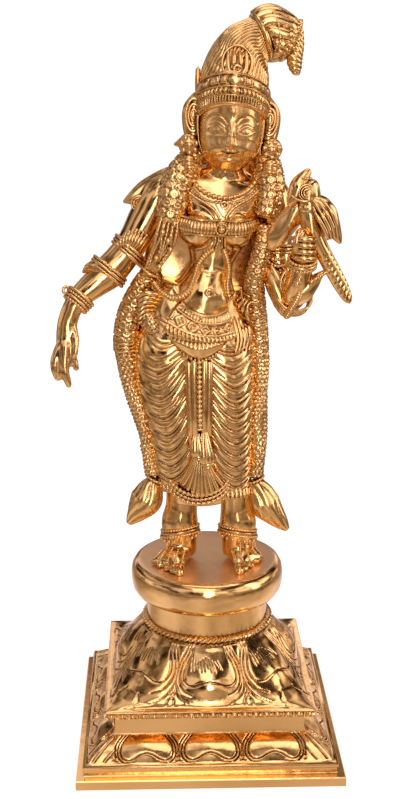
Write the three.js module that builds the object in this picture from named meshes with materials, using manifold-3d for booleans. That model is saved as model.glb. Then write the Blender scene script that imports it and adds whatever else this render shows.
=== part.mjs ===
// A polished bronze casting of a standing woman with a parrot on her raised left hand,
// on a square lotus plinth.
// Lengths are in millimetres. +Z is up, she looks along -Y, and +X is on her left.
// The origin is the middle of the plinth's flat underside.
import * as THREE from "three";
import { mergeVertices } from "three/addons/utils/BufferGeometryUtils.js";
import Module from "manifold-3d";

const wasm = await Module();
wasm.setup();

// Driving dimensions of the plinth.
const plinthWidth = 165;
const lipHeight = 6;
const plateWidth = 131;
const plateTop = 42.2;
const waistWidth = 118;
const neckRadius = 38.6;
const neckTop = 95;
const petalCount = 8;

// Driving dimensions of the figure.
const padRadius = 48.6;
const padTop = 118;
const legAxisX = -5;
const hemZ = 163;
const foldCount = 8;
const foldDepth = 0.9;
const chinZ = 369;
const faceX = 12.5;
const faceY = -8;
const ringAt = [31, 1, 440.5];

const bronze = new THREE.MeshStandardMaterial({ color: 0xd79a52, roughness: 0.22, metalness: 1 });
const back = new THREE.Vector3(0, 1, 0);
const up = new THREE.Vector3(0, 0, 1);

// Merges a geometry's shared corners, keeping position alone.
function merged(geometry) {
  geometry.deleteAttribute("normal");
  geometry.deleteAttribute("uv");
  return mergeVertices(geometry, 1e-4);
}

function solidOf(geometry) {
  const g = merged(geometry);
  return new wasm.Manifold(
    new wasm.Mesh({
      numProp: 3,
      vertProperties: new Float32Array(g.attributes.position.array),
      triVerts: new Uint32Array(g.index.array),
    }),
  );
}

function joined(geometries) {
  return geometries.map(solidOf).reduce((whole, piece) => whole.add(piece));
}

function meshOf(solid, name) {
  const m = solid.getMesh();
  const geometry = new THREE.BufferGeometry();
  geometry.setAttribute("position", new THREE.BufferAttribute(new Float32Array(m.vertProperties), 3));
  geometry.setIndex(new THREE.BufferAttribute(new Uint32Array(m.triVerts), 1));
  geometry.computeVertexNormals();
  const mesh = new THREE.Mesh(geometry, bronze);
  mesh.name = name;
  return mesh;
}

// Side, front and lengthwise directions of a section that looks along the tangent.
function frameOf(tangent, reference) {
  const side = new THREE.Vector3().crossVectors(reference, tangent).normalize();
  const front = new THREE.Vector3().crossVectors(side, tangent).normalize();
  return { side, front };
}

// A smooth curve through points [x, y, z].
function curveThrough(points) {
  return new THREE.CatmullRomCurve3(points.map((p) => new THREE.Vector3(...p)), false, "catmullrom", 0.5);
}

// A closed limb through stations [x, y, z, half width, half depth]. The relief gets the share of the
// length, the angle from the front and the row, and returns what it adds to the radius and the height.
function limb(stations, sides, rows, { reference = back, relief = null } = {}) {
  const path = curveThrough(stations.map(([x, y, z]) => [x, y, z]));
  const girth = curveThrough(stations.map((s) => [s[3], s[4], 0]));
  const geometry = new THREE.CylinderGeometry(1, 1, 1, sides, rows);
  const position = geometry.attributes.position;
  for (let i = 0; i < position.count; i++) {
    const x = position.getX(i);
    const z = position.getZ(i);
    const reach = Math.min(1, Math.hypot(x, z));
    const t = THREE.MathUtils.clamp(position.getY(i) + 0.5, 0, 1);
    const angle = Math.atan2(x, z);
    const { side, front } = frameOf(path.getTangent(t), reference);
    const size = girth.getPoint(t);
    const extra = relief ? relief(t, angle, Math.round(t * rows)) : { out: 0, lift: 0 };
    const across = (size.x + extra.out) * reach * Math.sin(angle);
    const deep = (size.y + extra.out) * reach * Math.cos(angle);
    const p = path.getPoint(t).addScaledVector(side, across).addScaledVector(front, deep);
    position.setXYZ(i, p.x, p.y, p.z + extra.lift * reach);
  }
  return geometry;
}

function ball([x, y, z], [rx, ry, rz], width = 12, height = 8, [tiltX, tiltY, tiltZ] = [0, 0, 0]) {
  const g = new THREE.SphereGeometry(1, width, height);
  g.scale(rx, ry, rz);
  g.rotateX(tiltX);
  g.rotateY(tiltY);
  g.rotateZ(tiltZ);
  g.translate(x, y, z);
  return g;
}

// Two like shapes, one on each side of a plane x = middle.
function both(make) {
  return [make(-1), make(1)].flat();
}

// A round cord through points, closed at its ends.
function cord(points, radius, sides = 4, rows = points.length * 2, options = {}) {
  return limb(points.map((p) => [...p, radius, radius]), sides, rows, options);
}

// A short collar round a limb: an anklet, a bracelet or a clasp.
function cuff([x, y, z], axis, across, deep, height, sides = 6) {
  const half = new THREE.Vector3(...axis).setLength(height / 2);
  return limb([
    [x - half.x, y - half.y, z - half.z, across, deep],
    [x + half.x, y + half.y, z + half.z, across, deep],
  ], sides, 1);
}

// Radius of a square of half width h, in the direction of an angle.
function squareReach(h, angle) {
  return h / Math.max(Math.abs(Math.cos(angle)), Math.abs(Math.sin(angle)));
}

// The plinth's profile from the bottom up:
// [half width, height, squareness, lower petals, dome petals, rope].
const plinthProfile = [
  [plinthWidth / 2, 0, 1, 0, 0],
  [plinthWidth / 2, lipHeight, 1, 0, 0],
  [plinthWidth / 2 - 5, lipHeight + 0.6, 1, 0, 0],
  [plinthWidth / 2 - 5, 10.2, 1, 0, 0],
  [plinthWidth / 2 - 4, 12.4, 1, 0, 0],
  [plinthWidth / 2 - 6.6, 13.6, 1, 0.2, 0],
  [69.4, 18.6, 1, 1, 0],
  [63.6, 21.9, 1, 0.8, 0],
  [waistWidth / 2 + 0.6, 24.4, 1, 0, 0],
  [waistWidth / 2 - 2, 27.5, 1, 0, 0],
  [waistWidth / 2 - 1, 35, 1, 0, 0],
  [plateWidth / 2, 38.2, 1, 0, 0],
  [plateWidth / 2, plateTop, 1, 0, 0],
  [63.4, plateTop + 0.8, 1, 0, 0],
  [60, 46, 0.6, 0, 0.5],
  [57.6, 51, 0.34, 0, 1],
  [54.2, 59, 0.18, 0, 1],
  [48.6, 67.5, 0.05, 0, 0.9],
  [neckRadius + 1, 75.4, 0, 0, 0.1],
  [neckRadius + 3, 77.2, 0, 0, 0, 1],
  [neckRadius, 79.4, 0, 0, 0],
  [neckRadius, neckTop, 0, 0, 0],
];

// Height of a petal's cushion above the groove between petals, with the share of the way across it.
function cushion(share) {
  return Math.abs(Math.sin(Math.PI * share)) ** 0.6;
}

function plinthBody(sides = 48) {
  const rows = plinthProfile.length - 1;
  const g = new THREE.CylinderGeometry(1, 1, 1, sides, rows);
  const position = g.attributes.position;
  for (let i = 0; i < position.count; i++) {
    const row = Math.round((position.getY(i) + 0.5) * rows);
    const reach = Math.min(1, Math.hypot(position.getX(i), position.getZ(i)));
    const [half, z, squareness, lower, dome, rope = 0] = plinthProfile[row];
    const angle = Math.atan2(-position.getZ(i), position.getX(i));
    const quarter = THREE.MathUtils.euclideanModulo(angle + Math.PI / 4, Math.PI / 2) - Math.PI / 4;
    const across = (Math.tan(quarter) + 1) / 2;
    const petals = across > 0.12 && across < 0.88 ? cushion(((across - 0.12) / 0.76) * 3) : 0.6;
    const lobes = cushion((angle / (2 * Math.PI)) * petalCount + 0.5);
    let radius = THREE.MathUtils.lerp(half, squareReach(half, angle), squareness);
    const twist = Math.round((angle / Math.PI) * sides * 0.5) % 2 ? 0.7 : -0.6;
    radius += lower * 4 * (petals - 0.8) + dome * 5 * (lobes - 0.88) + rope * twist;
    position.setXYZ(i, reach * radius * Math.cos(angle), reach * radius * Math.sin(angle), z);
  }
  return g;
}

const plinthSolid = solidOf(plinthBody());

const padProfile = [
  [0, neckTop],
  [38, neckTop],
  [44.5, 98.4],
  [padRadius, 105.4],
  [padRadius, 110.2],
  [45.6, 115.8],
  [42.4, padTop],
  [0, padTop],
];

function pad() {
  const g = new THREE.LatheGeometry(padProfile.map(([r, z]) => new THREE.Vector2(r, z)), 30);
  g.rotateX(Math.PI / 2);
  return g;
}

// One foot with its ankle, anklet and toes, which fan outward from the big one.
function foot(side, [ax, ay], [hx, hy], [bx, by], [lx, ly]) {
  const midX = (bx + lx) / 2;
  const midY = (by + ly) / 2;
  const along = (share) => [hx + (midX - hx) * share, hy + (midY - hy) * share];
  const pieces = [
    limb([
      [...along(-0.16), 123, 6, 5],
      [...along(0), 124.5, 8, 8],
      [...along(0.4), 124.5, 9, 7.4],
      [...along(0.9), 120, 11.5, 3.4],
    ], 7, 3, { reference: up }),
    limb([
      [ax, ay, 172, 10.4, 10],
      [ax, ay, 150, 10, 9.6],
      [ax, ay, 138, 9.4, 9.2],
      [(ax + hx) / 2, (ay + hy) / 2, 122, 8.4, 9.4],
    ], 8, 3),
    cuff([ax, ay, 136.5], [0.1 * side, 0.25, 1], 11, 11.4, 7, 6),
  ];
  const toeCount = 5;
  for (let k = 0; k < toeCount; k++) {
    const share = k / (toeCount - 1);
    const tip = [bx + (lx - bx) * share, by + (ly - by) * share - 1.6 * Math.sin(Math.PI * share)];
    const root = [tip[0] + (hx - tip[0]) * 0.3, tip[1] + (hy - tip[1]) * 0.3];
    const r = k === 0 ? 3.2 : 2.3 - 0.1 * k;
    pieces.push(limb([[...root, 120.2, r, r], [...tip, 119, r, r * 0.8]], 4, 1, { reference: up }));
  }
  return pieces;
}

// Cloth over one leg, with hanging folds that droop in front and rise towards the back.
function legCloth(stations) {
  return limb(stations, 10, foldCount * 2, {
    relief: (t, angle, row) => ({
      out: (row % 2 === 0 ? foldDepth : -foldDepth * 0.4) * (t > 0.02 && t < 0.99 ? 1 : 0),
      lift: 9 * Math.sin(Math.PI * Math.min(1, t * 1.15)) * (1 - Math.cos(angle)) * 0.5,
    }),
  });
}

function skirt() {
  return [
    legCloth([
      [-17, -6, hemZ, 11.5, 11],
      [-18, -6, 180, 13.8, 13],
      [-20.6, -7, 208, 16.4, 16.5],
      [-23.4, -7, 236, 20, 19],
      [-23.6, -5, 258, 21.4, 21],
      [-18, -4, 278, 17, 19],
    ]),
    legCloth([
      [14, -6, hemZ - 1, 11.5, 11],
      [13.4, -6, 180, 13.6, 13],
      [11.6, -7, 208, 15.8, 16.5],
      [10.4, -7, 236, 18, 19],
      [9, -5, 258, 20, 21],
      [6, -4, 278, 16, 19],
    ]),
    limb([
      [legAxisX + 1, -6, 168, 14, 9],
      [legAxisX, -6, 205, 14, 12],
      [legAxisX - 1, -4, 240, 18, 17],
      [legAxisX - 2, -2, 268, 24, 21],
    ], 8, 3),
  ];
}

// The pleated panel hanging between the legs, opening into a fan at its foot.
function centrePanel() {
  const pleats = 3;
  return limb([
    [-5, -14, 161.5, 15.5, 8],
    [-5, -15, 172, 16.5, 8.4],
    [-5.2, -16, 182, 11.5, 8],
    [-5.4, -18, 194, 5.4, 7],
    [-5.4, -19, 203, 7.6, 7],
    [-5.5, -20, 212, 4.8, 6],
    [-6, -21, 240, 4.6, 6.4],
    [-6, -22, 260, 4, 6],
  ], pleats * 4, 8, {
    relief: (t, angle) => ({ out: t < 0.3 ? 0.7 * Math.cos(angle * pleats * 2) : 0, lift: 0 }),
  });
}

function torso() {
  return [
    limb([
      [-8, -4, 254, 33, 22],
      [-6.5, -4, 268, 34, 23],
      [-4.5, -4, 283, 28, 20],
      [-1, -6, 295, 18.5, 17.5],
      [1.5, -5.5, 307, 13, 12.8],
      [3, -5.5, 317, 15, 13],
      [5, -5, 329, 20.5, 14],
      [7.5, -4, 342, 25, 14],
      [8.5, -2, 353, 31, 12.5],
      [9.5, -1, 361, 23, 10.5],
      [10.5, -3, 367, 11.5, 10],
      [11.5, -5, 380, 9.8, 9.6],
    ], 12, 10),
    ball([-6.5, -14.5, 331.5], [11, 10, 10.5], 8, 5),
    ball([16.8, -14.5, 331], [11, 10, 10.5], 8, 5),
  ];
}

// The banded girdle round the hips, and the apron that sags below it.
function girdle() {
  return [
    limb([
      [-7.4, -4.6, 270.6, 34, 24],
      [-7, -4.6, 274, 36.6, 27],
      [-5.8, -4.7, 281, 34.6, 25.4],
      [-4.2, -4.8, 287.6, 29.5, 22.6],
      [-3.8, -4.8, 290, 26, 19],
    ], 12, 4, { relief: (t, angle) => ({ out: 0, lift: -4.4 * Math.cos(angle) - 2 * Math.sin(angle) }) }),
    limb([
      [-26, -20, 268.5, 2, 1.5],
      [-6, -25.5, 262, 4, 7],
      [15, -20, 269, 2, 1.5],
    ], 5, 4, { reference: up }),
  ];
}

// A flower garland: lobed all along, with clasps at some places, ending in a lotus bud.
function garland(stations, rows, clasps, [root, belly, tip, r]) {
  const path = curveThrough(stations.map(([x, y, z]) => [x, y, z]));
  const between = (a, b, share) => a.map((value, k) => value + (b[k] - value) * share);
  const relief = (t, angle, row) => ({ out: row % 2 ? 0.7 : -0.5, lift: 0 });
  const pieces = [limb(stations, 5, rows, { relief })];
  for (const [t, size] of clasps) {
    const p = path.getPoint(t);
    const d = path.getTangent(t);
    pieces.push(cuff([p.x, p.y, p.z], [d.x, d.y, d.z], size, size, 5, 5));
  }
  pieces.push(limb([
    [...root, r * 0.4, r * 0.4],
    [...between(root, belly, 0.5), r * 0.8, r * 0.8],
    [...belly, r, r],
    [...between(belly, tip, 0.5), r * 0.62, r * 0.62],
    [...tip, r * 0.12, r * 0.12],
  ], 8, 4, { relief: (t, angle) => ({ out: t < 0.75 ? 0.6 * Math.cos(angle * 4) : 0, lift: 0 }) }));
  return pieces;
}

function garlands() {
  return [
    ...garland([
      [-8, -5, 378, 6, 5],
      [-12, -6, 369, 8.4, 7],
      [-19, -9, 358, 10, 8],
      [-22, -14, 342, 8, 6.5],
      [-27, -12, 322, 5.5, 5.5],
      [-35.4, -9, 308, 6, 6],
      [-43.4, -8, 291, 6.4, 6],
      [-49.2, -7, 268, 7.6, 6],
      [-49.4, -7, 250, 6.6, 5.5],
      [-43.2, -8, 222, 4.8, 4.6],
      [-37, -8, 200, 4.4, 4.4],
      [-33.6, -9, 174, 4.4, 4],
    ], 16, [[0.53, 8.6], [0.8, 7]], [[-31.5, -9, 175], [-39, -9, 160], [-50, -10, 144.5], 9.8]),
    ...garland([
      [33.6, -5, 376, 6, 5],
      [35, -6, 367, 8.4, 7],
      [36.6, -10, 354, 8, 6],
      [33, -15, 334, 6.4, 5.5],
      [30, -14, 314, 5.6, 5],
      [27, -13, 298, 6.5, 5.5],
      [29.5, -10, 280, 6, 5.5],
      [31.5, -8, 256, 5.6, 5],
      [31.8, -8, 226, 5.4, 4.8],
      [31.6, -8, 200, 5.2, 4.6],
      [30.4, -9, 172, 4.6, 4],
    ], 14, [[0.6, 7.4], [0.83, 6.6]], [[29, -9, 174], [36.6, -9, 156.6], [51, -10, 139.4], 9.6]),
  ];
}

// A knot of cloth on each hip.
function hipKnots() {
  return [
    limb([
      [-33, -11, 293, 3.4, 3.4],
      [-35, -13, 284, 7.4, 6.6],
      [-35, -16, 274, 5.4, 5],
      [-32, -17, 264, 1.5, 1.5],
    ], 6, 4, { relief: (t, angle, row) => ({ out: row % 2 ? 0.6 : -0.4, lift: 0 }) }),
    limb([
      [20, -15, 300, 0.8, 0.8],
      [18, -17, 291, 3.4, 3.5],
      [21, -17, 282, 4.6, 4.4],
      [22, -16, 270, 1.5, 1.5],
    ], 5, 3),
  ];
}

// Her right arm hangs away from the hip and bends at the wrist.
function loweredArm() {
  const fingers = [
    [[-87, -18, 266], [-92, -20.5, 253], [-90, -20, 241], 3.4],
    [[-85, -20, 266], [-86, -22.5, 250], [-83.5, -21.5, 237], 2.9],
    [[-83.6, -18, 267], [-81, -20, 256], [-78.8, -20, 247], 2.7],
    [[-81, -16, 276], [-79, -20.5, 267], [-79.5, -23, 257], 2.2],
  ];
  return [
    limb([
      [-19, 0, 358, 8, 9],
      [-28, -1, 350, 11, 11.5],
      [-36, -2, 338, 10.6, 11],
      [-44.5, -4, 323, 9.4, 10],
      [-52, -6, 313, 9.6, 9.6],
      [-59.5, -8, 305, 10, 9.6],
      [-67, -10.5, 299.2, 8.6, 8.6],
      [-74.8, -13, 293, 7.2, 6.8],
      [-80, -15, 286.8, 6.2, 5.2],
      [-84, -16, 277, 6, 4.4],
      [-84.8, -17.5, 267, 6.4, 4],
      [-85.6, -19.5, 258, 5.2, 3.4],
    ], 8, 13),
    ...fingers.map(([a, b, c, r]) => limb([[...a, r, r], [...b, r, r], [...c, r * 0.7, r * 0.7]], 4, 2)),
    cuff([-47.5, -5, 316.5], [-0.5, -0.12, -0.86], 11.6, 12, 3.4),
    cuff([-59.6, -8, 305.4], [-0.3, -0.1, -0.95], 13, 11.8, 3.4),
    cuff([-77.4, -14, 289.8], [-0.72, -0.3, -0.6], 8.6, 8.2, 4.4),
    limb([
      [-53, -9, 322, 3, 2],
      [-47, -13.5, 326, 7, 4.4],
      [-42, -12, 333, 2, 1.5],
    ], 6, 4),
    limb([
      [-60, -10, 306, 5, 4],
      [-69, -10, 309.4, 4.6, 4],
      [-74.5, -10, 306, 1.4, 1.4],
    ], 6, 4),
  ];
}

// Her left arm bends up from the elbow towards the front and holds the parrot.
function raisedArm() {
  const across = new THREE.Vector3(1, 0, 0);
  return [
    limb([
      [34, -1, 357, 8, 8.5],
      [41, -1, 350, 10.5, 10.5],
      [43.4, -3, 334, 10.4, 10],
      [43.6, -5, 316, 10.4, 9.6],
      [44.6, -9, 299, 10.6, 9.6],
      [47.6, -13, 287.6, 8, 8.6],
    ], 7, 5),
    limb([
      [48.5, -12, 287, 6.6, 7.4],
      [50, -21, 294, 9, 8.6],
      [52.5, -28, 303, 8.6, 8],
      [53.5, -33, 313, 6.6, 6.4],
      [54, -36, 321, 6, 5.4],
      [54, -37, 328, 6.6, 4.6],
      [52.5, -36.5, 335, 4.6, 3.4],
    ], 7, 7, { reference: across }),
    cuff([49.5, -17, 290.5], [0.2, -0.6, 0.5], 11, 11.4, 3.6),
    cuff([53.8, -34.5, 316], [0.05, -0.3, 0.95], 8.4, 8.4, 3.6),
    limb([
      [56, -34, 328, 2.6, 2.4],
      [60.4, -35, 323, 2.6, 2.6],
      [56.6, -33.4, 317, 2.4, 2.4],
    ], 5, 2),
    limb([
      [55, -29, 299, 8, 6],
      [62, -31, 305, 4.6, 4],
      [68, -31.5, 309.8, 2, 2.2],
      [73, -30.5, 308.6, 1.6, 1.6],
    ], 5, 3),
  ];
}

function parrot() {
  return [
    limb([
      [55, -33, 364, 2.2, 2],
      [56, -33, 361.6, 4.6, 4],
      [55.2, -33, 356.5, 6.8, 6],
      [56, -32.6, 350.5, 6.6, 6],
      [58.6, -32, 342, 9.6, 8.6],
      [61.4, -31.5, 332, 9, 8.4],
      [66.5, -31, 321, 5.6, 6],
      [72.6, -30.5, 310, 4.4, 4],
      [78.4, -30, 300, 3.6, 2.6],
      [83.4, -29.5, 293.6, 1.2, 1],
    ], 7, 10),
    limb([
      [52, -33.5, 357.8, 4.6, 3.4],
      [47.5, -34, 359.4, 3, 2.6],
      [44.2, -34.4, 357.4, 0.9, 0.9],
    ], 5, 2, { reference: up }),
    limb([
      [53, -33, 361, 4.4, 2.8],
      [56, -33, 366.6, 2.8, 2],
      [57, -33, 369.8, 1.4, 1.2],
    ], 5, 2),
    ...both((s) => limb([
      [62, -32 + 5.4 * s, 348, 3, 2],
      [66.6, -32 + 7.8 * s, 339, 5.8, 3],
      [70, -31.4 + 7 * s, 330, 4.6, 2.6],
      [74.4, -31 + 4.4 * s, 321, 1, 1],
    ], 5, 3)),
    limb([
      [60, -33, 331, 2.6, 2.6],
      [56.4, -35, 322, 2, 2],
    ], 5, 1),
  ];
}

// The pointed cape flap over the right shoulder.
function capeFlap() {
  return limb([
    [-8, 2, 363, 6, 5],
    [-22, 2, 358, 8.4, 6.5],
    [-34, 1, 353.8, 6.8, 4.6],
    [-43, -1, 349, 4.6, 3.4],
    [-50.4, -3, 346.6, 1, 1],
  ], 5, 3);
}

// The jewellery on the chest: collar, breast band with its flower, and the two chains.
function chestJewels() {
  return [
    cuff([10.5, -6.4, 359.6], [0.02, -0.5, 0.85], 20.6, 18.6, 4, 12),
    cord([
      [-19.5, -12, 336],
      [-14, -20, 335.5],
      [-6, -23.6, 334.4],
      [6, -22, 333.4],
      [17, -23.6, 333.4],
      [24, -20, 333.8],
      [28.5, -11, 334],
    ], 2.8, 4, 8),
    ball([7.2, -24, 333.4], [4, 4, 4], 6, 4),
    cord([
      [6, -21.5, 329],
      [4, -20, 320],
      [-7, -18, 308],
      [-11, -18.6, 297],
      [-24, -18.4, 292.4],
      [-31, -16, 299],
    ], 2.2, 4, 6),
    cord([
      [8.4, -21.5, 329],
      [9, -19, 318],
      [12, -17.4, 306],
      [12, -18, 296],
      [16, -17, 287],
    ], 2.2, 4, 4),
  ];
}

const headTilt = 0.12;

// Moves a point given in the upright head's own measures to its tilted place.
function onHead([x, y, z]) {
  const lift = z - chinZ;
  return [
    faceX + x * Math.cos(headTilt) + lift * Math.sin(headTilt) * 0.35,
    faceY + y,
    chinZ + lift - x * Math.sin(headTilt) * 0.5,
  ];
}

function head() {
  return [
    limb([
      [...onHead([-1.4, -9, 367.4]), 4.6, 6],
      [...onHead([-1.2, -6, 371.5]), 11.4, 14],
      [...onHead([-0.6, -2, 379]), 16.6, 18.4],
      [...onHead([0, 0, 389]), 18.8, 20.6],
      [...onHead([0.4, 1, 402]), 19, 21],
      [...onHead([0.6, 2, 411]), 18, 20],
    ], 14, 6),
    limb([
      [...onHead([-0.4, -19.6, 396]), 1.5, 2],
      [...onHead([-0.7, -21, 386]), 2.6, 3],
      [...onHead([-0.8, -19.4, 381.4]), 3, 3],
    ], 5, 2),
    ball(onHead([-1, -18.4, 376.2]), [4.6, 3.2, 2.4], 6, 4),
    ball(onHead([-1.2, -15.4, 370.6]), [4.4, 4, 3], 6, 4),
    ...both((s) => ball(onHead([7.6 * s, -16.4, 390]), [4.8, 3, 2.3], 6, 4)),
  ];
}

// A long ear and its round ear stud with a pointed leaf.
function earsAndEarrings() {
  return both((s) => [
    limb([
      [...onHead([18.6 * s, 1, 407]), 3.6, 4],
      [...onHead([22.4 * s, 2, 399.6]), 6, 6],
      [...onHead([22.6 * s, 2, 390]), 6, 5.4],
      [...onHead([21.6 * s, 0, 381]), 5, 4],
    ], 6, 3),
    ball(onHead([24 * s, -2, 379.6]), [6.8, 4.4, 7], 6, 4),
    limb([
      [...onHead([28 * s, -1, 380.6]), 3.6, 3.6],
      [...onHead([31.8 * s - 1.4, -1, 378.6]), 0.6, 0.6],
    ], 4, 1),
  ]);
}

// The hair: combed up in locks, leaning over to the left, tied by a ring and flaring into a bun,
// with a tassel.
function hair() {
  const locks = 8;
  return [
    limb([
      [13.8, -5, 402, 19.8, 20.6],
      [14.8, -4.5, 412, 20, 21],
      [16, -4, 420, 19.6, 20.6],
      [18.2, -3, 428, 17.8, 19.4],
      [22, -1.4, 434.4, 15.8, 17.6],
      [26.8, 0, 438.2, 13.8, 15.4],
      [...ringAt, 14, 14.6],
      [34.4, 1, 441.8, 12.4, 13.4],
      [37.6, 1.4, 442.8, 15, 15.4],
      [42, 1.8, 441.2, 15.2, 17.4],
      [46.6, 2, 438.6, 14, 17.8],
      [50, 2, 436.8, 11.4, 15.4],
      [52, 2, 436.2, 7, 9],
    ], locks * 2, 12, { relief: (t, angle) => ({ out: 0.55 * Math.cos(angle * locks), lift: 0 }) }),
    limb([
      [...onHead([0, 1.6, 396]), 19, 20.8],
      [...onHead([0, 1.6, 398]), 21, 23.2],
      [...onHead([0.2, 1.4, 404]), 21.4, 23.4],
      [...onHead([0.4, 1.2, 409.6]), 21.4, 23.2],
      [...onHead([0.6, 1.2, 412]), 19.6, 20.6],
    ], 14, 4, { relief: (t, angle) => ({ out: 0, lift: 9.4 * Math.cos(angle) }) }),
    limb([
      [51, -1, 447, 1.8, 3.6],
      [53, -2, 438, 2.6, 5],
      [51, -3, 430, 4, 4.4],
      [50.6, -4, 425, 3.8, 3.4],
      [53, -4, 421, 1.4, 1.4],
    ], 6, 4),
    ball([16, -22.6, 427.4], [6.6, 3, 8.6], 8, 5, [0.1, 0, 0]),
    cord([[-4, -3, 408], [-5, -3, 416], [-4.6, -3, 426]], 2.2, 4, 2),
  ];
}

// The hair falling down the back and spreading behind the arms as far as the hips, plainer than the front.
function backHair() {
  const locks = 5;
  return limb([
    [13, 12, 406, 12, 5],
    [12, 14, 385, 17, 6.4],
    [10, 11, 366, 20, 5.4],
    [8, 8, 352, 32, 5],
    [3, 7, 334, 36, 4],
    [-1, 6.6, 312, 36, 3.6],
    [-4, 6.4, 290, 39, 4],
    [-4, 6.6, 268, 42, 6],
    [2, 7, 250, 38, 8],
  ], locks * 2, 7, { relief: (t, angle) => ({ out: 0.6 * Math.cos(angle * locks), lift: 0 }) });
}

const figureSolid = joined([
  pad(),
  ...foot(-1, [-16, -5], [-14, 1], [-18.6, -33], [-36.4, -14]),
  ...foot(1, [18, -6], [17.4, 1], [19.6, -32], [36.6, -8]),
  ...skirt(),
  centrePanel(),
  ...torso(),
  ...girdle(),
  ...garlands(),
  ...hipKnots(),
  ...loweredArm(),
  ...raisedArm(),
  ...parrot(),
  capeFlap(),
  ...chestJewels(),
  ...head(),
  ...earsAndEarrings(),
  ...hair(),
  backHair(),
]);

const figure = meshOf(figureSolid, "figure");
const plinth = meshOf(plinthSolid, "plinth");

const model = new THREE.Group();
model.name = "andal figure";
model.add(figure, plinth);

export default model;
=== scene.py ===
import math

import bpy
import numpy as np
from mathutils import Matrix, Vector
from mathutils.bvhtree import BVHTree


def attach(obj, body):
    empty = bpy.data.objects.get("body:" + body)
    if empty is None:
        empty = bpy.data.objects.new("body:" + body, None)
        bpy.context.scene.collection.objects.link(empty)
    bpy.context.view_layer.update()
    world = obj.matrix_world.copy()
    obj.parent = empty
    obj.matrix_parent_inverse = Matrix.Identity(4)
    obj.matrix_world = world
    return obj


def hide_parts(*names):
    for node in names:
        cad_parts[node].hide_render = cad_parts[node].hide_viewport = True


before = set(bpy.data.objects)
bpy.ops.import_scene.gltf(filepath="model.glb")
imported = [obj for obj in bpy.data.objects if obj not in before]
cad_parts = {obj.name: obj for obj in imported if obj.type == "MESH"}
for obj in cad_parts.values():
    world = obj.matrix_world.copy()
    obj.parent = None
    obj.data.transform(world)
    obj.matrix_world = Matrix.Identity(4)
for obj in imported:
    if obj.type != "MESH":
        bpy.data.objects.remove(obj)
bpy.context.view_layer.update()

mm = 0.001  # sizes below are in millimetres, and the scene is in metres


def chosen(obj=None):
    # operators act on all that is selected, so one object at most is
    bpy.ops.object.select_all(action="DESELECT")
    if obj:
        bpy.context.view_layer.objects.active = obj
        obj.select_set(True)


def nodeOf(tree, kind, sockets=None, **values):
    # sockets holds what goes in: another node's output is linked, anything else is set
    node = tree.nodes.new(kind)
    for key, value in values.items():
        setattr(node, key, value)
    for label, value in (sockets or {}).items():
        if isinstance(value, bpy.types.NodeSocket):
            tree.links.new(value, node.inputs[label])
        else:
            node.inputs[label].default_value = value
    return node


def noiseOf(tree, place, scale, detail):
    sockets = {"Vector": place, "Scale": scale, "Detail": detail}
    return nodeOf(tree, "ShaderNodeTexNoise", sockets).outputs["Fac"]


def mapped(tree, value, low, high, first=0, last=1):
    sockets = {"Value": value, "From Min": low, "From Max": high, "To Min": first, "To Max": last}
    return nodeOf(tree, "ShaderNodeMapRange", sockets).outputs[0]


def rampOf(tree, factor, tones):
    node = nodeOf(tree, "ShaderNodeValToRGB", {0: factor})
    steps = node.color_ramp.elements
    for step, (position, color) in ((steps[0], tones[0]), (steps[1], tones[-1])):
        step.position = position
        step.color = (*color, 1)
    for position, color in tones[1:-1]:
        steps.new(position).color = (*color, 1)
    return node.outputs[0]


def largerOf(tree, first, second):
    return nodeOf(tree, "ShaderNodeMath", {0: first, 1: second}, operation="MAXIMUM").outputs[0]


def mixColor(tree, factor, first, second):
    ends = [(*color, 1) if isinstance(color, tuple) else color for color in (first, second)]
    return nodeOf(tree, "ShaderNodeMix", {0: factor, 6: ends[0], 7: ends[1]}, data_type="RGBA").outputs[2]


# camera, floor and light
view = {
    "place": (-0.02864, -0.81705, 0.46425),
    "pitch": 73.56,  # degrees
    "turn": -0.0300,  # radians
    "lens": 61.79,
    "sensor": 36,
}
studio = {
    "floorSize": 400,
    "floorColor": (0.50, 0.50, 0.50),
    "floorRoughness": 0.8,
    "floorGlow": 0.60,
    "roomSize": 120,
    "roomHeight": 0.0001,
    # what the bronze mirrors round the table, by share of the way out: a pale sheet near by, then patches
    "roomTones": [
        (0.05, (1.0, 0.84, 0.92)), (0.20, (0.54, 0.41, 0.39)), (0.36, (0.07, 0.035, 0.014)),
        (0.58, (0.66, 0.52, 0.52)), (0.76, (0.19, 0.125, 0.09)), (1, (0.27, 0.19, 0.16)),
    ],
    "roomReach": (0.55, 2.3),
    "patchScale": 3.4,
    "patchShift": 1.1,
    "skyTones": [(0.41, (0.018, 0.006, 0.002)), (0.495, (0.33, 0.22, 0.18)), (0.61, (1.45, 1.22, 1.36))],
    "skyScale": 2.3,
    # paler to the right, and at the horizon than overhead: axis, from, to, and the brightness at each
    "skyShades": [("X", -1, 1, 0.50, 1.30), ("Z", 0.1, 1, 1.08, 0.62)],
    "plainSky": (0.96, 0.96, 0.96, 1),  # for all but the mirrored rays
    "lampAim": (0, 0, 0.24),
    # name, place, size across, size up, watts, colour
    "lamps": [
        ("keyLamp", (-0.2, -1.4, 1.3), 0.9, 1.1, 4.6, (1, 0.86, 1.0)),
        ("frontLamp", (0.05, -1.6, 0.45), 0.34, 0.9, 4.4, (1, 0.86, 1.0)),
        ("lowStrip", (0.01, -0.75, 0.10), 0.06, 0.32, 0.24, (1, 0.86, 1.0)),
        ("rightLamp", (1.3, -0.35, 0.6), 0.4, 1.3, 3.6, (1, 0.86, 1.0)),
        ("leftLamp", (-1.3, 0.15, 0.5), 0.4, 1.3, 0.5, (1, 0.86, 1.0)),
        ("topLamp", (0.1, 0.1, 1.7), 1.2, 0.9, 4.8, (1, 0.88, 1.0)),
    ],
}


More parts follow.
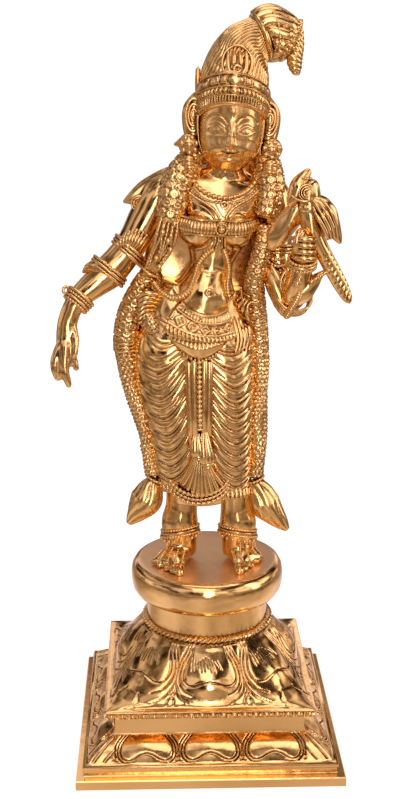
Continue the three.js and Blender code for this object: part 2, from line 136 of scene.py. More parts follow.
def placeCamera():
    data = bpy.data.cameras.new("camera")
    data.lens = view["lens"]
    data.sensor_width = view["sensor"]
    camera = bpy.data.objects.new("camera", data)
    camera.location = view["place"]
    camera.rotation_euler = (math.radians(view["pitch"]), 0, view["turn"])
    bpy.context.scene.collection.objects.link(camera)
    bpy.context.scene.camera = camera


def paintFloor():
    paint = bpy.data.materials.new("floorPaint")
    paint.use_nodes = True
    shader = paint.node_tree.nodes["Principled BSDF"]
    shader.inputs["Base Color"].default_value = (*studio["floorColor"], 1)
    shader.inputs["Roughness"].default_value = studio["floorRoughness"]
    shader.inputs["Emission Color"].default_value = (1, 1, 1, 1)
    shader.inputs["Emission Strength"].default_value = studio["floorGlow"]
    return paint


def paintRoom():
    paint = bpy.data.materials.new("roomPaint")
    paint.use_nodes = True
    tree = paint.node_tree
    place = nodeOf(tree, "ShaderNodeTexCoord").outputs["Object"]
    far = nodeOf(tree, "ShaderNodeVectorMath", {0: place}, operation="LENGTH").outputs["Value"]
    patch = noiseOf(tree, place, studio["patchScale"], 2)
    terms = {0: patch, 1: studio["patchShift"], 2: far}
    shift = nodeOf(tree, "ShaderNodeMath", terms, operation="MULTIPLY_ADD").outputs[0]
    tone = rampOf(tree, mapped(tree, shift, *studio["roomReach"]), studio["roomTones"])
    glow = nodeOf(tree, "ShaderNodeEmission", {"Color": tone})
    tree.links.new(glow.outputs[0], tree.nodes["Material Output"].inputs["Surface"])
    return paint


def layPlane(name, size, height, paint):
    chosen()
    bpy.ops.mesh.primitive_plane_add(size=size, location=(0, 0, height))
    plane = bpy.context.object
    plane.name = name
    plane.data.materials.append(paint)
    return plane


def hangLamp(name, place, across, up, watts, color):
    data = bpy.data.lights.new(name, "AREA")
    data.shape = "RECTANGLE"
    data.size = across
    data.size_y = up
    data.energy = watts
    data.color = color
    lamp = bpy.data.objects.new(name, data)
    lamp.location = place
    aim = Vector(studio["lampAim"]) - Vector(place)
    lamp.rotation_euler = aim.to_track_quat("-Z", "Y").to_euler()
    lamp.visible_camera = False
    bpy.context.scene.collection.objects.link(lamp)


def paintSky():
    # mirrored rays see soft patches like a room's, and all others a plain pale sky
    world = bpy.data.worlds.new("studioSky")
    bpy.context.scene.world = world
    world.use_nodes = True
    tree = world.node_tree
    tree.nodes.clear()
    direction = nodeOf(tree, "ShaderNodeTexCoord").outputs["Generated"]
    tone = rampOf(tree, noiseOf(tree, direction, studio["skyScale"], 2), studio["skyTones"])
    parts = nodeOf(tree, "ShaderNodeSeparateXYZ", {0: direction})
    for axis, *shade in studio["skyShades"]:
        share = mapped(tree, parts.outputs[axis], *shade)
        tone = nodeOf(tree, "ShaderNodeVectorMath", {0: tone, "Scale": share}, operation="SCALE").outputs[0]
    patched = nodeOf(tree, "ShaderNodeBackground", {"Color": tone}).outputs[0]
    plain = nodeOf(tree, "ShaderNodeBackground", {"Color": studio["plainSky"]}).outputs[0]
    mirror = nodeOf(tree, "ShaderNodeLightPath").outputs["Is Glossy Ray"]
    mix = nodeOf(tree, "ShaderNodeMixShader", {0: mirror, 1: plain, 2: patched})
    nodeOf(tree, "ShaderNodeOutputWorld", {0: mix.outputs[0]})


placeCamera()
floor = layPlane("floor", studio["floorSize"], 0, paintFloor())
# a sheet just over the floor that only mirrors see, with the tones of a room in it
room = layPlane("roomTones", studio["roomSize"], studio["roomHeight"], paintRoom())
room.visible_camera = room.visible_diffuse = room.visible_shadow = room.visible_transmission = False
for lamp in studio["lamps"]:
    hangLamp(*lamp)
paintSky()
bpy.context.scene.view_settings.view_transform = "Standard"
print("stage: camera, floor and light")

# bronze
bronze = {
    "bright": (0.915, 0.62, 0.262),
    "deep": (0.845, 0.515, 0.15),
    # the colour of the painted shade and patina in the chased lines
    "groove": (0.085, 0.027, 0.004),
    "mottleScale": 38,
    "shadeAndPatinaShare": 0.9,
    "shadeAndPatinaReach": 0.0038,
    "occlusion": (0.25, 0.85),  # the open share, from ambient occlusion, at which the painted shade in a groove is darkest and no longer dark
    "hollow": (0.435, 0.492),  # the same for how hollow the surface is
    "gritScale": 260,
    "gritRange": (0.3, 0.7),
    "gritStrength": 0.12,
    "gritHeight": 0.00006,
    "swellScale": 85,
    "swellHeight": 0.0006,
    # the pale sheen painted on a brushed top, over the bronze's own colour
    "topSheenColor": (0.97, 0.74, 0.54),
    "brushedRoughness": 0.38,
    "brushedAndSheenEdge": 0.0006,
}


def makeBronze(name, roughLow, roughHigh, swell, brushedAndSheenFrom=None):
    material = bpy.data.materials.new(name)
    material.use_nodes = True
    tree = material.node_tree
    shader = tree.nodes["Principled BSDF"]
    shader.inputs["Metallic"].default_value = 1
    place = nodeOf(tree, "ShaderNodeTexCoord").outputs["Object"]
    tone = mixColor(tree, noiseOf(tree, place, bronze["mottleScale"], 3), bronze["bright"], bronze["deep"])

    # painted shade in the chased lines, with some patina: darker where ambient occlusion finds them sheltered
    # and where the surface is hollow
    reach = {"Distance": bronze["shadeAndPatinaReach"]}
    occlusion = nodeOf(tree, "ShaderNodeAmbientOcclusion", reach, samples=6, only_local=True).outputs["AO"]
    hollow = nodeOf(tree, "ShaderNodeNewGeometry").outputs["Pointiness"]
    dark = [mapped(tree, signal, *bronze[key], bronze["shadeAndPatinaShare"], 0)
            for key, signal in (("occlusion", occlusion), ("hollow", hollow))]
    color = mixColor(tree, largerOf(tree, *dark), tone, bronze["groove"])

    grit = noiseOf(tree, place, bronze["gritScale"], 4)
    roughness = mapped(tree, grit, *bronze["gritRange"], roughLow, roughHigh)
    if brushedAndSheenFrom:
        # a flat top that was only brushed, not polished: rougher, and painted paler there as a sheen
        height = nodeOf(tree, "ShaderNodeSeparateXYZ", {0: place}).outputs["Z"]
        below = brushedAndSheenFrom - bronze["brushedAndSheenEdge"]
        mattAndSheen = mapped(tree, height, below, brushedAndSheenFrom, 0, bronze["brushedRoughness"])
        color = mixColor(tree, mattAndSheen, color, bronze["topSheenColor"])
        roughness = largerOf(tree, roughness, mattAndSheen)
    tree.links.new(color, shader.inputs["Base Color"])
    tree.links.new(roughness, shader.inputs["Roughness"])

    slow = noiseOf(tree, place, bronze["swellScale"], 2)
    sockets = {"Strength": swell, "Distance": bronze["swellHeight"], "Height": slow}
    uneven = nodeOf(tree, "ShaderNodeBump", sockets).outputs[0]
    sockets = {"Strength": bronze["gritStrength"], "Distance": bronze["gritHeight"], "Height": grit,
               "Normal": uneven}
    tree.links.new(nodeOf(tree, "ShaderNodeBump", sockets).outputs[0], shader.inputs["Normal"])
    return material


# least and most roughness, unevenness, and the height in metres from which a top is brushed and painted with
# a pale sheen
polished = makeBronze("polishedBronze", 0.09, 0.19, 0.40)
chased = makeBronze("chasedBronze", 0.13, 0.25, 0.30)
satin = makeBronze("satinBronze", 0.19, 0.28, 0.22)
brushedWithSheen = makeBronze("brushedSheenBronze", 0.10, 0.20, 0.45, 0.1178)
print("stage: materials")

# shaping helpers
backward = (0, 1, 0)
upward = (0, 0, 1)
sideward = (1, 0, 0)
finestBlank = 6000  # faces of a blank that is made at once; a finer one is subdivided


def onCurve(points, t):
    # a smooth curve through points, at the shares t of its stations
    p = np.asarray(points, float)
    last = len(p) - 1
    x = np.clip(np.asarray(t, float), 0, 1) * last
    k = np.minimum(x.astype(int), last - 1)
    w = (x - k)[..., None]
    e = np.vstack([2 * p[0] - p[1], p, 2 * p[-1] - p[-2]])
    a, b, c, d = e[k], e[k + 1], e[k + 2], e[k + 3]
    m, n = (c - a) / 2, (d - b) / 2
    return (2 * b - 2 * c + m + n) * w ** 3 + (3 * c - 3 * b - 2 * m - n) * w ** 2 + m * w + b


def unit(v):
    return v / np.maximum(np.linalg.norm(v, axis=-1, keepdims=True), 1e-9)


def between(a, b, share):
    return tuple(p + (q - p) * share for p, q in zip(a, b))


def hump(value, middle, width):
    return np.exp(-((value - middle) / width) ** 2)


def mound(x, y, cx, cy, sx, sy, height):
    return height * np.exp(-((x - cx) / sx) ** 2 - ((y - cy) / sy) ** 2)


def window(run, low, high, edge):
    return np.clip((run - low) / edge, 0, 1) * np.clip((high - run) / edge, 0, 1)


def cageOf(obj):
    co = np.empty(len(obj.data.vertices) * 3)
    obj.data.vertices.foreach_get("co", co)
    return co.reshape(-1, 3)


def setCage(obj, co):
    obj.data.vertices.foreach_set("co", np.asarray(co, float).reshape(-1))
    obj.data.update()


def applied(obj, kind, **values):
    chosen(obj)
    modifier = obj.modifiers.new(kind, kind)
    for key, value in values.items():
        setattr(modifier, key, value)
    bpy.ops.object.modifier_apply(modifier=modifier.name)
    return obj


def roundBlank(name, sides, rows):
    # a sphere opened into a tube of numbered rings; a fine one is subdivided from a coarser one
    halvings = 0
    while (halvings < 2 and sides * rows > finestBlank * 4 ** halvings
           and sides % 2 ** (halvings + 1) == 0):
        halvings += 1
    part = 2 ** halvings
    coarse = -(-rows // part)
    chosen()
    bpy.ops.mesh.primitive_uv_sphere_add(segments=sides // part, ring_count=coarse + 2, radius=1)
    obj = bpy.context.object
    obj.name = name
    co = cageOf(obj)
    ring = np.rint(np.arccos(np.clip(co[:, 2], -1, 1)) / np.pi * (coarse + 2)).astype(int)
    angle = np.arctan2(co[:, 0], co[:, 1])
    whole = np.where((ring == 0) | (ring == coarse + 2), 0.0, 1.0)
    t = np.clip((ring - 1) / coarse, 0, 1)
    if halvings:
        setCage(obj, np.stack([whole * np.sin(angle), whole * np.cos(angle), t], 1))
        applied(obj, "SUBSURF", subdivision_type="SIMPLE", levels=halvings)
        co = cageOf(obj)
        angle = np.arctan2(co[:, 0], co[:, 1])
        t = np.clip(co[:, 2], 0, 1)
        share = np.rint(np.hypot(co[:, 0], co[:, 1]) * part) / part
        whole = np.where((t < 1e-5) | (t > 1 - 1e-5), share, 1.0)
    return obj, t, angle, whole


def limb(name, stations, sides, rows, relief=None, reference=backward, cap=0.0, warp=None):
    # stations are x, y, z, half width, half depth; relief adds to the radius, in millimetres
    obj, t, angle, whole = roundBlank(name, sides, rows)
    s = np.asarray(stations, float)
    place = onCurve(s[:, :3], t)
    size = onCurve(s[:, 3:5], t)
    ahead = onCurve(s[:, :3], np.minimum(t + 1e-4, 1)) - onCurve(s[:, :3], np.maximum(t - 1e-4, 0))
    tangent = unit(ahead)
    side = unit(np.cross(np.broadcast_to(reference, tangent.shape), tangent))
    front = unit(np.cross(side, tangent))
    fine = np.linspace(0, 1, 400)
    steps = np.linalg.norm(np.diff(onCurve(s[:, :3], fine), axis=0), axis=1)
    runTable = np.concatenate([[0], np.cumsum(steps)])
    run = np.interp(t, fine, runTable)
    out = relief(t, angle, run) if relief else np.zeros_like(t)
    if cap:
        # both ends are rounded over the length of the cap
        close = np.clip(np.minimum(run, runTable[-1] - run) / cap, 0, 1)
        whole = whole * np.sqrt(np.clip(1 - (1 - close) ** 2, 0, 1))
    across = (size[:, 0] + out) * whole * np.sin(angle)
    deep = (size[:, 1] + out) * whole * np.cos(angle)
    co = place + side * across[:, None] + front * deep[:, None]
    if warp:
        co = warp(co, angle, run)
    setCage(obj, co * mm)
    return obj


def joined(name, pieces):
    chosen()
    for piece in pieces:
        piece.select_set(True)
    bpy.context.view_layer.objects.active = pieces[0]
    if len(pieces) > 1:
        bpy.ops.object.join()
    pieces[0].name = name
    pieces[0].data.name = name
    return pieces[0]


def melted(obj, voxel, smoothing):
    # the overlapping shapes become one skin, as in the casting
    applied(obj, "REMESH", mode="VOXEL", voxel_size=voxel * mm, adaptivity=0)
    return applied(obj, "SMOOTH", factor=0.5, iterations=smoothing)


def thinned(obj, triangles):
    # a finely cut mesh keeps its small faces at the engraved lines and loses them where it is smooth
    obj.data.calc_loop_triangles()
    count = len(obj.data.loop_triangles)
    if count > triangles:
        applied(obj, "DECIMATE", ratio=triangles / count)
    return obj


def finish(obj, material, angle=None, faces=None):
    if faces:
        thinned(obj, faces)
    obj.data.materials.clear()
    obj.data.materials.append(material)
    chosen(obj)
    if angle:
        bpy.ops.object.shade_smooth_by_angle(angle=math.radians(angle))
    else:
        bpy.ops.object.shade_smooth()
    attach(obj, "root")


def strokeDistance(x, y, line):
    # distance from each point to an open line drawn through the points
    line = np.asarray(line, float)
    best = np.full(np.shape(x), 1e9)
    for (ax, ay), (bx, by) in zip(line[:-1], line[1:]):
        dx, dy = bx - ax, by - ay
        share = np.clip(((x - ax) * dx + (y - ay) * dy) / max(dx * dx + dy * dy, 1e-9), 0, 1)
        best = np.minimum(best, np.hypot(x - ax - share * dx, y - ay - share * dy))
    return best


def curved(points, count=24):
    return onCurve(points, np.linspace(0, 1, count))


def bothSides(strokes):
    # strokes are the number of points and the stations; each is drawn again on the other side of the middle
    lines = []
    for count, points in strokes:
        line = curved(points, count)
        lines += [line, [(-a, b) for a, b in line]]
    return lines


def engraved(x, y, lines, width, depth):
    total = np.zeros(np.shape(x))
    for line in lines:
        total = np.maximum(total, np.exp(-(strokeDistance(x, y, line) / width) ** 2))
    return -depth * total


def cord(name, points, radius, sides=10, step=1.0, relief=None, warp=None, taper=None):
    # a round cord through points; taper gives the radius at its start, middle and end
    p = np.asarray(points, float)
    length = np.linalg.norm(np.diff(p, axis=0), axis=1).sum()
    rows = max(4, int(length / step))
    if taper:
        sizes = onCurve([(r, 0, 0) for r in taper], np.linspace(0, 1, len(p)))[:, 0]
    else:
        sizes = np.full(len(p), radius)
    stations = [(*a, r, r) for a, r in zip(p, sizes)]
    return limb(name, stations, sides, rows, relief, cap=radius, warp=warp)


def evenly(points, step):
    fine = onCurve(points, np.linspace(0, 1, 40 * len(points)))
    run = np.concatenate([[0], np.cumsum(np.linalg.norm(np.diff(fine, axis=0), axis=1))])
    count = max(2, int(round(run[-1] / step)) + 1)
    at = np.linspace(0, run[-1], count)
    return np.stack([np.interp(at, run, fine[:, k]) for k in range(fine.shape[1])], 1)


def beadString(name, points, radius, sides=8, gap=1.9):
    # beads along a smooth line; gap is their distance in radii
    pitch = radius * gap

    def relief(t, angle, run):
        return -0.72 * radius * (1 - np.abs(np.sin(np.pi * run / pitch)) ** 0.6)
    return cord(name, evenly(points, 2.0), radius, sides, pitch / 6, relief)


def ropeCord(name, points, radius, sides=12, pitch=4.0, strands=3):
    def relief(t, angle, run):
        return 0.2 * radius * (np.abs(np.cos((strands * angle + 2 * np.pi * run / pitch) / 2)) * 2 - 1.2)
    return cord(name, evenly(points, 2.0), radius, sides, 0.6, relief)


def ribbedCord(name, points, radius, pitch=1.7, sides=10, depth=0.4, warp=None):
    def relief(t, angle, run):
        return depth * radius * (np.abs(np.sin(np.pi * run / pitch)) - 0.6)
    return cord(name, evenly(points, 2.0), radius, sides, pitch / 5, relief, warp)


def hoop(name, centre, axis, across, deep, radius, beads=0, rope=0, segments=96, reference=backward):
    # a closed ring round a limb; across and deep are its half sizes
    if beads:
        segments = beads * 6
    chosen()
    bpy.ops.mesh.primitive_torus_add(major_segments=segments, minor_segments=8, minor_radius=0.2)
    obj = bpy.context.object
    obj.name = name
    co = cageOf(obj)
    turn = np.arctan2(co[:, 1], co[:, 0])
    spin = np.arctan2(co[:, 2], np.hypot(co[:, 0], co[:, 1]) - 1)
    w = unit(np.array(axis, float))
    u = unit(np.cross(np.array(reference, float), w))
    v = np.cross(w, u)
    r = np.full_like(turn, radius)
    if beads:
        r = radius * (0.5 + 0.5 * np.abs(np.sin(turn * beads / 2)) ** 0.7)
    if rope:
        r = radius * (0.82 + 0.18 * np.cos(turn * rope + spin * 2))
    right, ahead = np.cos(turn)[:, None] * u, np.sin(turn)[:, None] * v
    co = (np.array(centre, float) + across * right + deep * ahead
          + (r * np.cos(spin))[:, None] * (right + ahead) + (r * np.sin(spin))[:, None] * w)
    setCage(obj, co * mm)
    return obj


def ballOf(name, centre, radii, segments=16, rings=10, warp=None):
    chosen()
    bpy.ops.mesh.primitive_uv_sphere_add(segments=segments, ring_count=rings, radius=1)
    obj = bpy.context.object
    obj.name = name
    co = cageOf(obj) * np.array(radii, float) + np.array(centre, float)
    if warp:
        co = warp(co, None, None)
    setCage(obj, co * mm)
    return obj


def skinOf(objects):
    # a search tree over the finished surfaces, so that ornaments can rest on them
    corners, faces = [], []
    for obj in objects:
        start = len(corners)
        corners.extend(v.co.copy() for v in obj.data.vertices)
        faces.extend([start + k for k in f.vertices] for f in obj.data.polygons)
    return BVHTree.FromPolygons(corners, faces)


def resting(tree, points, lift=0.0):
    # lays points x, z on the surface seen from the front, and lifts them off it
    laid = []
    last = -20.0
    for x, z in points:
        hit = tree.ray_cast(Vector((x * mm, -0.3, z * mm)), Vector((0, 1, 0)))[0]
        last = hit.y / mm if hit is not None else last
        laid.append((x, last - lift, z))
    return laid


def eased(points, passes=2):
    # takes the jumps out of a line that crosses from one form to another
    p = np.array(points, float)
    for _ in range(passes):
        p[1:-1, 1] = (p[:-2, 1] + 2 * p[1:-1, 1] + p[2:, 1]) / 4
    return [tuple(v) for v in p]


# plinth
plinth = {
    "sides": 1280,
    # half width, height, squareness
    "tier": [
        (82.5, 0, 1), (82.5, 5.4, 1), (81.9, 6.1, 1), (77.9, 6.5, 1), (77.4, 7.0, 1), (77.4, 10.0, 1),
        (78.3, 10.9, 1), (78.4, 12.2, 1), (77.5, 13.1, 1), (75.9, 13.5, 1), (69.4, 18.4, 1),
        (63.6, 22.1, 1), (59.8, 24.2, 1), (58.8, 25.2, 1), (58.6, 27.2, 1), (58.8, 36.4, 1),
        (59.0, 37.3, 1), (64.4, 38.0, 1), (65.0, 38.6, 1),
    ],
    "tierSteps": [1, 1, 1, 1, 1, 1, 1, 1, 1, 26, 21, 15, 3, 1, 2, 3, 1, 3],  # the sum is a multiple of four
    "tierFaces": 64000,
    "dome": [
        (64.4, 37.8, 1), (65.3, 38.4, 1), (65.5, 40.4, 1), (65.2, 42.2, 1), (63.9, 42.9, 0.985),
        (62.0, 43.6, 0.92), (60.2, 45.4, 0.68), (58.8, 48.8, 0.44), (57.0, 53.6, 0.25),
        (54.0, 59.8, 0.13), (49.8, 66.4, 0.05), (44.8, 72.2, 0.01), (40.6, 75.6, 0), (39.6, 76.4, 0),
        (41.2, 77.0, 0), (41.9, 78.2, 0), (41.0, 79.6, 0), (38.8, 80.2, 0), (38.6, 81.4, 0),
        (38.6, 94.9, 0),
    ],
    "domeSteps": [1, 2, 4, 3, 2, 5, 6, 10, 16, 20, 20, 15, 6, 3, 4, 4, 4, 2, 1],
    "domeFaces": 96000,
    "lowPitch": 39.4,  # from petal to petal on the lower band
    "lowSlope": 20.5,
    # strokes of half a petal: number of points, then across and up the slope
    "lowStrokes": [
        (24, [(-10.6, 21), (-14.8, 15.4), (-16.2, 9.6), (-14.8, 4.8), (-11.8, 2.8), (-8.0, 3.8), (-4.2, 6.4),
              (0, 7.9)]),
        (24, [(-12.6, 21), (-16.8, 15.0), (-18.0, 9.2), (-17.0, 4.4), (-14.4, 1.2)]),
        (24, [(-15.2, 21), (-19.0, 14.6), (-19.5, 8.6), (-18.9, 5.0)]),
        (8, [(-20.3, 4.6), (-19.5, 2.6), (-18.2, 1.9)]),
    ],
    "lowCorner": [
        [(1.6, 21), (-3.4, 15), (-8.4, 8), (-12, 2)],
        [(5.8, 21), (2.6, 14), (-2.0, 7), (-5.4, 1.6)],
    ],
    # the same for the petals of the dome
    "petals": 8,
    "petalSlope": 42,
    "petalStrokes": [
        (30, [(-8.6, 43), (-10.6, 36), (-13.6, 29), (-15.4, 22.6), (-14.8, 17.8), (-12.2, 15.4), (-8.6, 15.6),
              (-4.6, 17.8), (0, 19.6)]),
        (26, [(-10.6, 43), (-12.6, 36), (-15.8, 29), (-17.7, 21.4), (-17.2, 15.0), (-14.4, 10.6),
              (-10.4, 8.2)]),
        (26, [(-12.6, 43), (-14.8, 36), (-18.0, 28), (-19.9, 19), (-19.6, 11.4), (-17.2, 6.0), (-12.6, 2.4)]),
        (8, [(-22.6, 13.2), (-21.6, 9.8), (-20.2, 8.2)]),
        (10, [(-22.6, 5.0), (-21.4, 6.4), (-20.2, 4.2), (-20.6, 1.4)]),
    ],
    "plateCorner": [(15.0, 0.4), (12.4, 1.4), (14.6, 3.0), (12.0, 4.8), (9.0, 7)],
    "plateHalf": 64,
    "rope": (65.2, 40.3, 1.7),  # half width of its square, height, radius
    "smoothAngle": 35,
}


def fromCorner(theta):
    # the turn from the middle of the nearest side of the square
    return np.mod(theta + np.pi / 4, np.pi / 2) - np.pi / 4


def squareReach(half, angle, square):
    # half width 1 is a circle at square 0 and a sharp square at 1, with rounded squares between
    if np.all(square > 0.995):
        return half / np.maximum(np.abs(np.cos(angle)), np.abs(np.sin(angle)))
    power = 2 / np.maximum(1 - square, 0.02)
    c, s = np.abs(np.cos(angle)), np.abs(np.sin(angle))
    high = np.maximum(c, s)
    return half / (high * ((c / high) ** power + (s / high) ** power) ** (1 / power))


def turned(name, profile, sides, rowSteps, relief=None):
    # a body of revolution that goes from square to round; relief gives what it adds outwards and upwards
    rows = sum(rowSteps)
    obj, t, angle, whole = roundBlank(name, sides, rows)
    knots = np.concatenate([[0]] + [np.linspace(k, k + 1, n + 1)[1:] for k, n in enumerate(rowSteps)])
    station = knots[np.rint(t * rows).astype(int)]
    p = np.asarray(profile, float)
    k = np.minimum(station.astype(int), len(p) - 2)
    half, z, square = (p[k] + (p[k + 1] - p[k]) * (station - k)[:, None]).T
    theta = np.pi / 2 - angle
    # spread the columns evenly along the square's sides
    quarter = fromCorner(theta)
    theta = theta - quarter + np.arctan(quarter / (np.pi / 4))
    radius = squareReach(half, theta, square)
    out, lift = relief(theta, half, z) if relief else (0, 0)
    radius = whole * (radius + out)
    # the blank's top is the start of the profile, so the turn runs backwards
    setCage(obj, np.stack([-radius * np.cos(theta), radius * np.sin(theta), z + whole * lift], 1) * mm)
    return obj


def tierRelief(theta, half, z):
    x = np.tan(fromCorner(theta)) * half
    length = np.clip((z - 13.6) / (24.2 - 13.6), 0, 1) * plinth["lowSlope"]
    onBand = (z > 13.5) & (z < 24.3)
    pitch = plinth["lowPitch"]
    cell = np.mod(x + pitch / 2, pitch) - pitch / 2
    inside = np.abs(x) < pitch * 1.5
    cut = np.zeros_like(x)
    at = onBand & inside
    cut[at] = engraved(cell[at], length[at], bothSides(plinth["lowStrokes"]), 0.46, 1.15)
    cut[at] += mound(cell[at], length[at], 0, 13, 11, 9, 1.3)
    at = onBand & ~inside
    lines = [curved(line) for line in plinth["lowCorner"]]
    cut[at] = engraved(59.4 - np.abs(x[at]), length[at], lines, 0.46, 1.1)
    return cut * 0.54, cut * 0.84


def domeRelief(theta, half, z):
    sector = 2 * math.pi / plinth["petals"]
    turn = np.mod(theta + math.pi / 2 + sector / 2, sector) - sector / 2
    rise = np.clip((z - 43.4) / 32.4, 0, 1)
    length = rise * plinth["petalSlope"]
    x = turn / (sector / 2) * (22.6 - rise * 6.2)
    hatch = [[(k * 1.6 + 2, 33 + 1.4 * math.cos(k)), (k * 1.9 + 0.6, 26.6 + 1.7 * math.cos(k * 2))]
             for k in range(-4, 6)]
    cut = np.zeros_like(x)
    at = (z > 43.2) & (z < 76.2)
    side = x[at], length[at]
    cut[at] = engraved(*side, bothSides(plinth["petalStrokes"]), 0.48, 1.2)
    cut[at] += engraved(*side, hatch, 0.34, 0.45)
    valley = 20.5 - rise[at] * 6
    cut[at] += mound(*side, 0, 20, 12.5, 17, 4.0) - 1.4
    cut[at] += mound(np.abs(side[0]), side[1], valley, 26, 3.2, 15, -1.4)
    out = cut * np.sin(np.pi * np.clip(rise + 0.04, 0, 1)) ** 0.4
    # a waving stroke in each corner of the plate
    quarter = fromCorner(theta)
    fromEdge = plinth["plateHalf"] - np.abs(np.tan(quarter) * plinth["plateHalf"])
    at = (z > 42.9) & (z < 56) & (np.abs(quarter) > 0.45)
    out[at] += engraved(fromEdge[at], length[at], [curved(plinth["plateCorner"], 20)], 0.55, 0.7)
    rope = 0.6 * np.cos(theta * 72 + (z - 78) * 1.7)
    return np.where((z > 76.3) & (z < 80.1), rope, out), np.zeros_like(out)


def plateRope():
    half, height, radius = plinth["rope"]
    corners = [(x * half, y * half, height) for x, y in ((-1, -1), (1, -1), (1, 1), (-1, 1), (-1, -1))]
    return [ropeCord("plateRope", [a, between(a, b, 0.5), b], radius, 8, 2.2, 1)
            for a, b in zip(corners[:-1], corners[1:])]


tier = turned("plinthTier", plinth["tier"], plinth["sides"], plinth["tierSteps"], tierRelief)
dome = turned("lotusDome", plinth["dome"], plinth["sides"], plinth["domeSteps"], domeRelief)
tier = thinned(tier, plinth["tierFaces"])
dome = joined("lotusDome", [thinned(dome, plinth["domeFaces"])] + plateRope())
for piece in (tier, dome):
    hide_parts("plinth")
    finish(piece, polished, plinth["smoothAngle"])
print("stage: plinth")

# pad
pad = {
    "profile": [
        (38.2, 95.0, 0), (40.6, 95.2, 0), (43.6, 96.0, 0), (46.0, 97.8, 0), (47.6, 100.6, 0),
        (48.3, 104.4, 0), (48.5, 109.6, 0), (47.9, 113.4, 0), (46.2, 116.3, 0), (43.6, 117.8, 0),
        (40.0, 118.0, 0), (20, 118.0, 0),
    ],
    "sides": 160,
    "steps": [2] * 11,
}
# the pad's flat top is rougher and painted with a pale sheen
finish(turned("footPad", pad["profile"], pad["sides"], pad["steps"]), brushedWithSheen)
print("stage: pad")

# skirt
skirt = {
    "right": [
        (-18.6, -6, 168, 12.6, 11.6), (-19.2, -6, 182, 14.0, 13.4), (-21.4, -7, 208, 15.4, 16.5),
        (-24.6, -7, 236, 18.6, 19), (-24.4, -5, 258, 20.4, 21), (-18, -4, 278, 17, 19),
    ],
    "left": [
        (14.6, -6, 163, 12.4, 11.4), (13.8, -6, 180, 14.0, 13), (13.0, -7, 208, 14.8, 16.5),
        (12.0, -7, 236, 16.8, 19), (9, -5, 258, 20, 21), (6, -4, 278, 16, 19),
    ],
    "middle": [
        (-4, -7, 166, 12, 9.6), (-5, -8, 200, 12, 13.6), (-6, -8, 240, 14, 17), (-7, -6, 270, 18, 19),
    ],
    # side towards the centre pleat, fold pitch at the hem and at the hip, and whether the folds have dashes
    "rightFolds": (1, 7.6, 12.5, True),
    "leftFolds": (-1, 6.4, 9.0, False),
    "foldDepth": 0.72,
    "sides": 192,
    "rows": 480,
    "faces": 56000,
}


def foldRelief(inward, pitchLow, pitchHigh, dashes):
    # hanging folds: fine double lines, lowest a little outside the middle, rising steeply towards the pleat
    def relief(t, angle, run):
        toward = np.sin(angle) * inward
        lift = np.where(toward > -0.3, 24 * (np.clip(toward + 0.3, 0, 2) / 1.3) ** 1.9,
                        6 * (np.clip(-0.3 - toward, 0, 1) / 0.7) ** 1.6)
        pitch = pitchLow + (pitchHigh - pitchLow) * t
        at = np.mod((run - lift) / pitch + 0.15, 1) * pitch  # millimetres up from the start of this fold
        ridge = hump(at, 1.9, 0.5) + 0.75 * hump(at, 3.9, 0.46)
        groove = 0.9 * hump(at, 1.0, 0.42) + 0.8 * hump(at, 3.0, 0.36)
        swell = 0.4 * np.sin(np.pi * np.clip((at - 4) / (pitch - 4), 0, 1))
        if dashes:
            swell -= 1.1 * np.exp(-((toward + 0.1) / 0.4) ** 4) * hump(at, pitch * 0.76, 0.4)
        front = np.clip(0.5 + 0.7 * np.cos(angle), 0.15, 1)
        fade = np.clip(t / 0.03, 0, 1) * np.clip((1 - t) / 0.05, 0, 1)
        full = 2.4 * hump(angle * inward, 0.9, 0.45)  # the cloth fills in beside the pleat
        return skirt["foldDepth"] * (ridge - groove + swell) * front * fade + full
    return relief


skirtParts = []
for key in ("right", "left"):
    part = limb("skirtSide", skirt[key], skirt["sides"], skirt["rows"], foldRelief(*skirt[key + "Folds"]))
    skirtParts.append(thinned(part, skirt["faces"]))
skirtParts.append(limb("skirtMiddle", skirt["middle"], 64, 60))
dressPiece = joined("skirt", skirtParts)
finish(dressPiece, polished)
print("stage: skirt")

